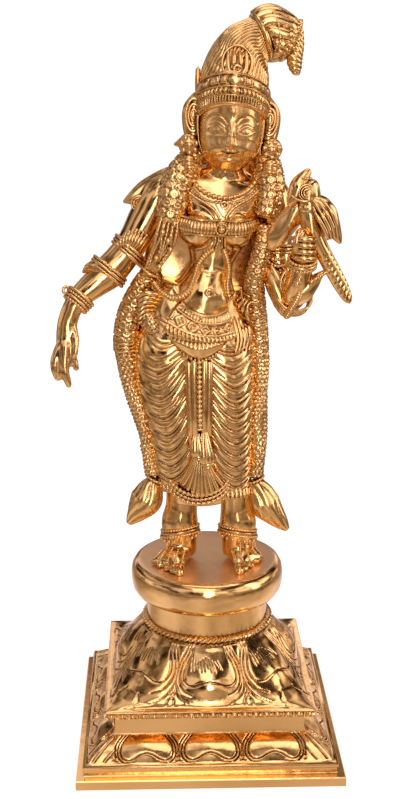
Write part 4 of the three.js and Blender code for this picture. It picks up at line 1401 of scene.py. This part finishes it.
# hip knots and tails
hips = {
    "bowFolds": 7,
    "bowHeart": [
        (-40.5, -14, 287, 2.6, 2.6), (-37.5, -16.4, 281, 5.4, 4.2), (-32.5, -18.6, 274, 5.2, 4),
        (-29.4, -19, 269, 2, 2),
    ],
    "bowBody": [(-40, -11, 290, 4, 3), (-35, -12.4, 284, 8, 5), (-31, -13, 276, 8, 5), (-28, -14, 266, 3, 3)],
    "bowTails": 5,
    "bowEdge": [(-22.6, -21.5, 283), (-24.2, -23, 276), (-28, -22.6, 269), (-30.6, -21.4, 262)],
    "sideFolds": 5,
    "sideFrills": 6,
    "faces": 22000,
}
knots = []
for k in range(hips["bowFolds"]):
    top = 294.5 - 2.6 * k
    arc = [(-42, top - 2.4), (-37, top + 0.6), (-30, top - 1.0), (-24.5 + 0.4 * k, top - 4.6),
           (-21.6 + 0.4 * k, top - 7.4)]
    knots.append(cord("bowFold", onBody(arc, 1.0 + 0.25 * k, 4), 1.5, 12, 0.9, taper=(0.9, 1.7, 0.9)))
knots.append(limb("bowHeart", hips["bowHeart"], 60, 70, rosettes(8, 3.0, 0.8), cap=2))
knots.append(limb("bowBody", hips["bowBody"], 32, 32, cap=2))
for k in range(hips["bowTails"]):
    tail = [(-34.5 + 2.0 * k, -16.6 - 0.5 * k, 273), (-36 + 2.3 * k, -17.4 - 0.4 * k, 265),
            (-34.4 + 2.0 * k, -18 - 0.3 * k, 258), (-36.5 + 2.2 * k, -18.2, 251 + 0.8 * k)]
    knots.append(cord("bowTail", tail, 1.15, 10, 0.9, taper=(1.3, 1.2, 0.5)))
knots.append(ribbedCord("bowEdge", hips["bowEdge"], 1.3, 1.6))
for k in range(hips["sideFolds"]):
    x = 15.0 + 2.1 * k
    fold = [(x + 2.4, 294 - k), (x - 0.4, 286), (x + 0.6, 276), (x + 2.4, 267), (x + 0.8, 259)]
    knots.append(cord("sideFold", onBody(fold, 0.9, 4), 1.2, 10, 0.9, taper=(0.7, 1.4, 0.6)))
for k in range(hips["sideFrills"]):
    tail = [(14.6 + 1.9 * k, -22.6 + 0.9 * k, 272 + 0.6 * k), (15.6 + 1.9 * k, -22.8 + 1.0 * k, 264),
            (17.4 + 1.5 * k, -21.6 + 1.0 * k, 256 + k)]
    knots.append(cord("sideFrill", tail, 1.1, 8, 0.9, taper=(1.0, 1.25, 0.5)))
finish(joined("hipKnots", knots), chased, faces=hips["faces"])

# jewels on the chest
chest = {
    # lift off the skin, how far the row lies outside the first, radius
    "necklace": [(1.6, 0, 1.65), (0.5, 3.2, 0.95)],
    "roundCords": [(0.7, 0, 0.95), (0.3, 2.3, 0.6)],
    "pendant": [(3.4, 348.6), (9.2, 349.4), (15, 348.6), (9.4, 339.6), (3.4, 348.6)],
    "pendantStone": [(9.3, 346.6), (9.3, 346)],
    "band": [
        (-20, -11.5, 336), (-15, -19, 335.6), (-6.4, -25.0, 334.6), (1, -24.4, 334), (7.2, -22.4, 333.6),
        (13, -24.4, 333.4), (17.4, -25, 333.4), (24.5, -20, 333.8), (29, -10.5, 334.2),
    ],
    "bandSize": (1.9, 3.5),
    "bandEdges": (4.4, -4.2),
    "leftChain": [
        (3.6, 321.6), (-2, 317), (-6, 311), (-8.4, 304), (-11.4, 297.4), (-17, 293), (-23.4, 292.4),
        (-29, 296), (-33, 301.5),
    ],
    "rightChain": [(8.6, 321.6), (11.2, 314), (12.4, 306), (11.4, 299), (12.6, 291.6), (16.6, 286.6)],
    "chainForward": [(-33, 7), (-20, 4.5), (-10, 0)],
    "hipChain": [(-13, 297), (-18, 290.4), (-24, 289.4), (-30, 292.6), (-35, 298.5)],
    "navel": [(0.2, 295.4), (0.2, 295)],
    # height and half length of the folds of the belly
    "bellyFolds": [(306.6, 4.4), (304.4, 3.4)],
    "faces": 46000,
}


def neckRows():
    rows = []
    for lift, out, r in chest["necklace"]:
        line = [(-11 - out * 0.7, 367), (-8 - out, 359 - out * 0.4), (-1 - out * 0.5, 353.2 - out),
                (9.6, 350.6 - out), (20 + out * 0.5, 353 - out), (27.4 + out, 358.6 - out * 0.4),
                (30.6 + out * 0.7, 366)]
        rows.append(beadString("necklaceBeads", onBody(line, lift), r, 10))
    for lift, out, r in chest["roundCords"]:
        left = [(-17 - out, 360), (-9 - out * 0.7, 351.6 - out), (0 - out * 0.5, 346.4 - out),
                (5 - out * 0.8, 341.6 - out), (7.4 - out * 0.4, 335)]
        right = [(35 + out, 359), (26 + out * 0.7, 351 - out), (16.6 + out * 0.5, 346 - out),
                 (11.6 + out * 0.8, 341.4 - out), (9.0 + out * 0.4, 335)]
        for line in (left, right):
            rows.append(ropeCord("roundCord", onBody(line, lift), r, 10, 2.4, 2))
    rows.append(cord("pendantEdge", onBody(chest["pendant"], 0.7, 1, 1.2), 0.6, 8, 0.8))
    place = onBody(chest["pendantStone"], 1.0, 0)[0]
    rows.append(hoop("pendantRing", place, (0, 1, 0), 2.0, 2.0, 0.65, reference=upward))
    return rows + [ballOf("pendantStone", place, (1.0, 1.0, 1.0))]


def flutes(t, angle, run):
    return 0.75 * (np.abs(np.sin(np.pi * run / 1.9)) ** 0.7 - 0.6)


def breastBand():
    line = chest["band"]
    parts = [limb("breastBand", [(*p, *chest["bandSize"]) for p in line], 40, 260, flutes, upward, cap=1)]
    for dz in chest["bandEdges"]:
        parts.append(cord("breastBandEdge", [(x, y + 0.4, z + dz) for x, y, z in line], 0.85, 8, 1.0))
    return parts + [
        ballOf("bandKnob", (7.4, -26.2, 333.4), (2.0, 2.0, 2.0)),
        ballOf("bandBoss", (7.4, -23.4, 333.4), (4.6, 2.6, 4.6), 24, 16),
        hoop("bandKnobRing", (7.4, -25.4, 333.4), (0, 1, 0), 3.2, 3.2, 0.9, beads=12, reference=upward),
    ]


def bellyChains():
    parts = []
    for dx in (-1.9, 1.9):
        for side in (-0.9, 0.9):
            line = [(7.2 + dx + side, 330), (6.8 + dx * 1.1 + side, 325), (6 + dx * 1.6 + side, 320.6)]
            parts.append(cord("ribbon", onBody(line, 0.5, 3), 0.9, 8, 0.8))
    for key in ("leftChain", "rightChain"):
        # the left one is carried forward over the gathered cords
        forward = list(zip(*chest["chainForward"]))
        laid = [(x, y - np.interp(x, *forward), z) for x, y, z in onBody(chest[key], 1.1, 8)]
        parts.append(ribbedCord("chain", laid, 1.9, 1.75, 12, 0.42))
    parts.append(ropeCord("hipChain", onBody(chest["hipChain"], 1.2, 6), 1.1, 10, 2.4, 2))
    navel = onBody(chest["navel"], 0.2, 0)[0]
    parts.append(hoop("navelRing", navel, (0, 1, 0.12), 2.2, 2.2, 0.85, reference=upward))
    parts.append(ballOf("navel", navel, (1.2, 0.9, 1.2)))
    for z, half in chest["bellyFolds"]:
        fold = onBody([(1.6 - half, z + 0.5), (1.6, z - 0.5), (1.6 + half, z + 0.4)], -0.25, 1, 1.0)
        parts.append(cord("bellyFold", fold, 0.62, 8, 0.7))
    return parts


finish(joined("jewels", neckRows() + breastBand() + bellyChains()), chased, faces=chest["faces"])
print("stage: jewels")

# bands on the arms and ankles
bangles = {
    # name, first centre, step to the next, axis, half sizes, what they gain at each step, radius,
    # the segments of a plain one, what each is (beads above nought, rope strands below), side vector
    "rightArm": [
        ("armlet", (-46.2, -4.6, 319.6), (-1.056, -0.3, -1.9), (-0.66, -0.16, -0.73), (11.0, 11.6), (0, 0),
         1.15, 64, (0, -34, 0), backward),
        ("elbowBand", (-58.4, -7.6, 307.6), (-1.12, -0.4, -1.8), (-0.62, -0.2, -0.76), (11.6, 11.6), (0, 0),
         1.15, 64, (-36, 0, -36), backward),
        ("bracelet", (-75.6, -13.4, 291.8), (-1.25, -0.45, -1.55), (-0.62, -0.3, -0.72), (8.4, 8.0),
         (-0.25, -0.25), 1.15, 96, (0, 26, 0, 24), backward),
        ("braceletKnob", (-84.4, -16.5, 296.2), (0, 0, 0), (0.5, -0.8, 0.2), (2.0, 2.0), (0, 0),
         0.9, 96, (0,), backward),
    ],
    "leftArm": [
        ("forearmBand", (49.2, -16.0, 289.4), (0.55, -1.3, 1.25), (0.22, -0.72, 0.62), (10.6, 11.0), (0, 0),
         0.95, 64, (0, -34, -34, 0), sideward),
        ("leftBracelet", (53.6, -33.6, 313.6), (0.1, -0.8, 1.9), (0.05, -0.35, 0.94), (7.9, 7.4), (0, 0),
         1.15, 96, (24, 0, 22), backward),
        ("leftArmlet", (41.3, -4.4, 320.5), (0, -0.1, -2.0), (0, -0.12, -1), (10.3, 10.6), (0, 0),
         1.1, 64, (-34, 0, -34), backward),
    ],
    "plumes": 9,
    "elbowLeaf": [
        (-58, -13.6, 306.6, 5.2, 3.0), (-64.5, -13.6, 309.4, 4.6, 3.4), (-70.5, -12.4, 309.0, 3.0, 2.6),
        (-74.8, -10.6, 305.4, 0.6, 0.6),
    ],
    "leafVeins": 4,
    "ankletDrops": 11,
    "anklets": (38, 0, 40),
    "toeChain": (0.42, 0.86, 7),  # from and to, as shares of the way to the toe, and the number of points
    "faces": 58000,
}


def hoopRow(name, start, step, axis, size, gain, radius, plainSegments, kinds, reference):
    row = []
    for k, kind in enumerate(kinds):
        centre = [a + b * k for a, b in zip(start, step)]
        across, deep = (a + b * k for a, b in zip(size, gain))
        beads, rope = max(kind, 0), max(-kind, 0)
        segments = 128 if rope else plainSegments
        row.append(hoop(name, centre, axis, across, deep, radius, beads, rope, segments, reference))
    return row


def armCrest():
    parts = []
    for k in range(bangles["plumes"]):
        a = 2 * k / (bangles["plumes"] - 1) - 1
        root = (-48.4 + 3.4 * a, -14.6 - 0.6 * (1 - a * a), 320.4 - 1.4 * a)
        tip = (-44.4 + 8.2 * a, -14.2 + 1.6 * a * a, 331 - 5.2 * a * a + 2.0 * a)
        x, y, z = between(root, tip, 0.5)
        parts.append(cord("crestPlume", [root, (x + 1.2 * a, y - 1.8, z + 0.8), tip], 1.2, 10, 0.8,
                          taper=(0.7, 1.35, 1.0)))
        parts.append(ballOf("crestBead", tip, (1.25, 1.1, 1.25), 10, 8))
    return parts + [ballOf("crestBoss", (-47.6, -15.0, 322.6), (3.4, 2.4, 2.6))]


def elbowLeaf():
    parts = [limb("elbowLeaf", bangles["elbowLeaf"], 32, 40, cap=1)]
    for k in range(bangles["leafVeins"]):
        a = k - 1.5
        line = [(-58.6, -16.8 + abs(a) * 0.6, 306.2 + 2.2 * a), (-64.6, -17 + abs(a) * 0.9, 309 + 1.9 * a),
                (-70.4, -14.8 + abs(a) * 0.6, 308.4 + a)]
        parts.append(cord("leafVein", line, 0.6, 8, 0.8, taper=(0.5, 0.7, 0.3)))
    return parts


def footJewels(side, ankle, big, last):
    x, y = ankle
    parts = []
    for k, beads in enumerate(bangles["anklets"]):
        parts.append(hoop("anklet", (x + 1.2 * side, y - 0.5 * k, 140.2 - 1.8 * k), (0.16 * side, 0.22, 1),
                          11.9 + 0.2 * k, 11.0 + 0.3 * k, 0.95 if beads else 0.6, beads))
    for a in np.linspace(-1.6, 1.6, bangles["ankletDrops"]):
        u, v = math.sin(a), math.cos(a)
        place = (x + 1.2 * side + 12.0 * u, y - 1.2 - 11.4 * v, 135.8 - 1.92 * side * u)
        parts.append(ballOf("ankletDrop", place, (0.9, 0.9, 1.3), 10, 8))
    for k in range(5):
        # a thin chain from the anklet to each toe
        share = k / 4
        tip = toeTip(big, last, share)
        line = []
        for way in np.linspace(*bangles["toeChain"]):
            px, py = between((x + side * (-3.0 + 9.5 * share), y), tip, way)
            hit = bodyTree.ray_cast(Vector((px * mm, py * mm, 0.136)), Vector((0, 0, -1)))[0]
            line.append((px, py, (hit.z / mm if hit else 121) + 0.3))
        parts.append(beadString("footChain", eased(line, 1), 0.75, 8, 1.8))
    return parts


cuffs = []
for row in bangles["rightArm"]:
    cuffs += hoopRow(*row)
cuffs += armCrest() + elbowLeaf()
for row in bangles["leftArm"]:
    cuffs += hoopRow(*row)
for side, ankle, _, big, last in body["feet"]:
    cuffs += footJewels(side, ankle, big, last)
finish(joined("bangles", cuffs), chased, faces=bangles["faces"])
print("stage: bangles")

# parrot
parrot = {
    "body": [
        (56.2, -33, 363.4, 3.0, 3.0), (56.8, -33, 360.4, 5.6, 5.0), (57.0, -33, 355.6, 6.6, 6.0),
        (57.4, -32.8, 350, 6.4, 5.8), (58.0, -32, 343, 6.6, 6.8), (59.6, -31.6, 335, 6.4, 7.0),
        (62.6, -31.2, 327, 5.4, 6.0), (66.6, -30.8, 320.0, 4.7, 4.8), (72.2, -30.4, 310.0, 4.6, 3.4),
        (77.6, -30, 300.4, 4.2, 2.6), (81.4, -29.8, 293.2, 3.0, 2.0), (83.0, -29.6, 289.8, 0.9, 0.9),
    ],
    "face": [
        (57.4, -33, 369.0, 1.4, 1.3), (54.6, -33, 365.6, 3.2, 2.8), (51.6, -33.2, 360.4, 5.2, 4.4),
        (49.6, -33.4, 355.4, 4.8, 4.2), (47.2, -33.6, 350.8, 3.0, 2.8), (45.8, -33.2, 347.2, 0.8, 0.8),
    ],
    "beak": [(46.0, -37.0, 355.0), (49.6, -38.0, 352.6), (53.6, -38.8, 351.6), (58, -38.8, 351.8)],
    "crest": [(52.0, -36.8, 365.0), (55.0, -36.8, 364.0), (58.4, -36.4, 364.6)],
    "leg": [(60, -33, 332), (57.4, -34.6, 326), (56.2, -35, 321)],
    # x, y, how far the wing stands off to its side, z, half width, half depth
    "wing": [
        (58.4, -32, 4.6, 352.6, 2.6, 2.4), (65.0, -32, 7.4, 346.4, 6.4, 3.4),
        (69.4, -31.6, 7.4, 338, 5.4, 3.0), (73.6, -31, 6.0, 330.6, 2.8, 2.0),
        (75.6, -31, 4.8, 326.4, 0.7, 0.7),
    ],
    # x and its share of the spread, y, how far to the side, z and its share
    "feather": [
        (60.4, 0.5, -32, 7.6, 351.4, 0.5), (64.6, 0.86, -32, 11.2, 346.0, 0.52),
        (68.6, 0.8, -31.6, 10.8, 338.4, 0.42), (70.6, 0.66, -31.2, 9.4, 332.2, 0.3),
        (70.4, 0.8, -31.0, 8.4, 329.8, 0),
    ],
    "feathers": 4,
    "eyePlace": (55.4, 356.4),  # x and z
    "eyes": [(-38.6, 0.6), (-27.4, -0.6)],  # y, and which way is into the head
    # name, share of that way, half sizes, radius, segments
    "eyeRings": [
        ("parrotEye", 0, 1.9, 1.9, 0.6, 32), ("parrotLid", 0.4, 3.3, 3.3, 0.5, 40),
        ("parrotBrow", 1.4, 4.6, 4.5, 0.55, 48),
    ],
    "faces": 30000,
}


def plumage(t, angle, run):
    # slanting barbs on the tail, and a collar at the neck
    tail = np.clip((t - 0.62) / 0.06, 0, 1) * np.clip(np.abs(np.cos(angle)) * 1.4 - 0.4, 0, 1)
    barbs = np.abs(np.sin(np.pi * (run / 3.6 - 0.8 * np.sin(angle)))) ** 0.7 - 0.7
    return barbs * tail + 0.8 * hump(t, 0.30, 0.02)


def wing(side):
    stations = [(x, y + out * side, z, *size) for x, y, out, z, *size in parrot["wing"]]
    parts = [limb("wing", stations, 32, 48, cap=0.8)]
    # long feathers that follow the outer edge and hook forward at their tips
    for k in range(parrot["feathers"]):
        spread = (k - 1.6) * 2.7
        line = [(x + dx * spread, y + out * side, z + dz * spread)
                for x, dx, y, out, z, dz in parrot["feather"]]
        parts.append(cord("wingFeather", line, 1.0, 10, 0.9, taper=(0.7, 1.35, 0.6)))
    return parts


def birdEye(y, inward):
    x, z = parrot["eyePlace"]
    parts = []
    for name, share, across, deep, radius, segments in parrot["eyeRings"]:
        parts.append(hoop(name, (x, y + inward * share, z), backward, across, deep, radius, segments=segments,
                          reference=upward))
    parts.insert(1, ballOf("parrotPupil", (x, y, z), (1.0, 0.9, 1.0)))
    return parts


bird = [
    limb("parrotBody", parrot["body"], 56, 120, plumage, cap=2),
    limb("parrotFace", parrot["face"], 40, 60, cap=1),
    cord("beakParting", parrot["beak"], 0.6, 8, 0.8),
    beadString("crestBeads", parrot["crest"], 0.8),
    cord("parrotLeg", parrot["leg"], 2.3, 16, 1),
]
for row in parrot["eyes"]:
    bird += birdEye(*row)
finish(joined("parrot", bird + wing(-1) + wing(1)), polished, faces=parrot["faces"])

# her left hand round the perch, and what hangs at her elbow
hand = {
    "palm": [
        (53.6, -35, 318, 5.8, 5.4), (54.2, -36.6, 325, 6.6, 5.2), (53.4, -36.8, 331, 5.2, 4.2),
        (52.0, -36.4, 336, 3.6, 3.0),
    ],
    # x, y, and the height over the finger's root
    "finger": [
        (48.2, -34.4, 0), (50.6, -41.2, 0.8), (55.6, -42.6, 0.6), (59.6, -39.0, -0.2),
        (60.6, -34.6, -0.8),
    ],
    "fingers": 4,
    "fingerPitch": 3.7,
    "thumb": [(50, -39, 322), (49.6, -41.4, 329), (51.6, -40, 335.4)],
    "leafAndStem": [
        (50, -27, 292, 5.4, 5), (54.6, -29.6, 297.6, 7.0, 5.4), (60.4, -31, 303, 4.6, 4.0),
        (64.6, -31.6, 307.4, 2.2, 2.2), (68.4, -31.6, 309.4, 1.5, 1.5), (73, -30.6, 309.4, 1.7, 1.7),
    ],
    "sleeveFolds": 4,
    "stemLeaves": 5,
    "elbowRope": [(45.6, -24.4, 280.4), (48.4, -29.0, 287.0), (51.4, -32.4, 293.4), (53.4, -34.0, 299.0)],
    "cuffPlate": [(49.6, -33.4, 300.6), (51.8, -35.0, 305.0), (53.6, -36.4, 309.4)],
    "sleeve": [
        (37, -13, 311, 4.4, 4.2), (40.6, -15.6, 303, 7.0, 6.4), (43.6, -18.6, 293.6, 7.2, 6.4),
        (45.4, -21.4, 285, 4.6, 4.6), (45.6, -22.6, 280.4, 1.6, 1.6),
    ],
    "sleeveBeads": 3,
    "armletLeaves": 5,
    "clothLeaf": [
        (55, -30, 351.6, 3.0, 2.6), (50.6, -29.4, 345, 6.0, 3.8), (44.6, -27.4, 335.4, 6.4, 4.2),
        (39.4, -24.8, 327.6, 5.8, 4.0), (35.8, -22, 321, 1.8, 1.8),
    ],
    "faces": 26000,
}


def sleeveFolds(t, angle, run):
    return np.abs(np.cos(4 * angle + 0.06 * run)) ** 0.7 - 0.6


def clothWaves(t, angle, run):
    return 0.5 * np.sin(3 * angle + 0.12 * run) * np.sin(np.pi * np.clip(t, 0, 1))


def gripParts():
    parts = [limb("palm", hand["palm"], 36, 36, reference=sideward, cap=2)]
    for k in range(hand["fingers"]):
        root = 318.6 + hand["fingerPitch"] * k
        line = [(x, y, root + z) for x, y, z in hand["finger"]]
        parts.append(cord("heldFinger", line, 1.9, 14, 0.9, taper=(1.6, 2.0, 1.6)))
        parts.append(hoop("fingerRing", (53.4, -42.3, root + 0.7), (1, -0.15, 0), 2.15, 2.15, 0.5,
                          segments=32, reference=upward))
    return parts + [cord("thumb", hand["thumb"], 2.0, 14, 0.9, taper=(2.2, 2.0, 1.3))]


def elbowParts():
    parts = [limb("elbowLeafLeft", hand["leafAndStem"], 40, 60, cap=1)]
    for k in range(hand["sleeveFolds"]):
        r = 2.2 + 2.0 * k
        arc = [(49.4 + r * 0.86 * math.cos(a), -31.4 + 0.75 * r, 301 + r * 1.15 * math.sin(a))
               for a in np.linspace(2.0, 4.5, 12)]
        parts.append(cord("sleeveFold", arc, 1.0, 10, 0.8, taper=(0.5, 1.25, 0.5)))
    for k in range(hand["stemLeaves"]):
        line = [(58 + 2.6 * k, -34.6 + 0.4 * k, 300.6 + 2.2 * k),
                (59.6 + 2.6 * k, -35.0 + 0.5 * k, 304.4 + 1.6 * k),
                (62.4 + 2.4 * k, -33.8 + 0.4 * k, 306.6 + 1.0 * k)]
        parts.append(cord("stemLeaf", line, 0.9, 8, 0.8, taper=(0.5, 1.1, 0.4)))
    parts.append(ribbedCord("elbowRope", hand["elbowRope"], 2.1, 1.6, 14, 0.3))
    parts.append(ribbedCord("cuffPlate", hand["cuffPlate"], 2.8, 2.6, 18, 0.22))
    parts.append(limb("elbowSleeve", hand["sleeve"], 40, 56, sleeveFolds, cap=1))
    for k in range(hand["sleeveBeads"]):
        # rows of small knots where the sleeve is gathered
        line = [(34.0 + 1.4 * k, -14.6 - 0.8 * k, 316 - 3.6 * k),
                (39.6 + 1.2 * k, -19.0 - 0.7 * k, 314.4 - 3.8 * k),
                (45.4 + 0.6 * k, -18.6 - 0.8 * k, 315.6 - 4.0 * k)]
        parts.append(beadString("sleeveBeads", line, 1.15))
    return parts


def armletLeaf(k):
    a = 2 * k / (hand["armletLeaves"] - 1) - 1
    line = [(40.6 + 2.0 * a, -15.0, 321), (40.8 + 4.4 * a, -15.2 + abs(a), 326.4 - 0.8 * a * a),
            (41 + 5.4 * a, -14.2 + 1.2 * abs(a), 330.6 - 2.4 * a * a)]
    return cord("armletLeaf", line, 1.1, 10, 0.9, taper=(0.8, 1.5, 0.6))


handParts = gripParts() + elbowParts() + [armletLeaf(k) for k in range(hand["armletLeaves"])]
handParts.append(limb("clothLeaf", hand["clothLeaf"], 48, 64, clothWaves, cap=1))
finish(joined("perchHand", handParts), chased, faces=hand["faces"])
print("stage: parrot")

# the loose hair and the cape behind
cape = {
    "back": [
        (14, 12, 406, 14, 5), (15.4, 12, 385, 19.4, 6.4), (13, 11, 366, 22, 5.4), (8, 8, 352, 32, 5),
        (3, 7, 334, 36, 4), (-1, 6.6, 312, 36, 3.6), (-4, 6.4, 290, 39, 4), (-4, 6.6, 268, 42, 6),
        (2, 7, 250, 38, 8),
    ],
    "flap": [
        (-8, 2, 363, 6, 5), (-22, 2, 358, 8.4, 6.5), (-34, 1, 353.8, 6.8, 4.6), (-43, -1, 349, 4.6, 3.4),
        (-50.2, -3, 346.4, 0.8, 0.8),
    ],
    "flapBeads": [(-20, -5.4, 360.4), (-28, -5.2, 357.6), (-36, -4.8, 353.0), (-42, -4.4, 349.2)],
    "curls": 4,
    "faces": 38000,
}


def locks(t, angle, run):
    # combed locks behind, and gathered cloth where it shows in front
    sway = angle + 0.05 * np.sin(run / 9 + 4 * angle)
    deep = np.abs(np.cos(14 * sway)) ** 0.7 - 0.55
    fine = np.abs(np.cos(42 * sway)) - 0.5
    behind = np.clip(0.4 - 1.4 * np.cos(angle), 0, 1)
    drape = 0.9 * np.sin(3.1 * angle + 0.09 * run) * np.clip(np.cos(angle), 0, 1)
    return (0.75 * deep + 0.18 * fine) * behind + drape


def flapFolds(t, angle, run):
    return 0.5 * (np.abs(np.cos(5 * angle)) ** 0.6 - 0.5) * np.clip((0.95 - t) / 0.1, 0, 1)


capeParts = [
    limb("backHair", cape["back"], 224, 112, locks, cap=3),
    limb("flap", cape["flap"], 60, 80, flapFolds, cap=1),
    beadString("flapBeads", cape["flapBeads"], 1.0),
]
for k in range(cape["curls"]):
    capeParts.append(hoop("flapCurl", (-39.5 - 0.3 * k, -6.6 - 0.2 * k, 346.2), backward,
                          1.4 + 1.15 * k, 1.3 + k, 0.5, segments=40, reference=upward))
finish(joined("looseHair", capeParts), chased, faces=cape["faces"])
print("stage: loose hair")
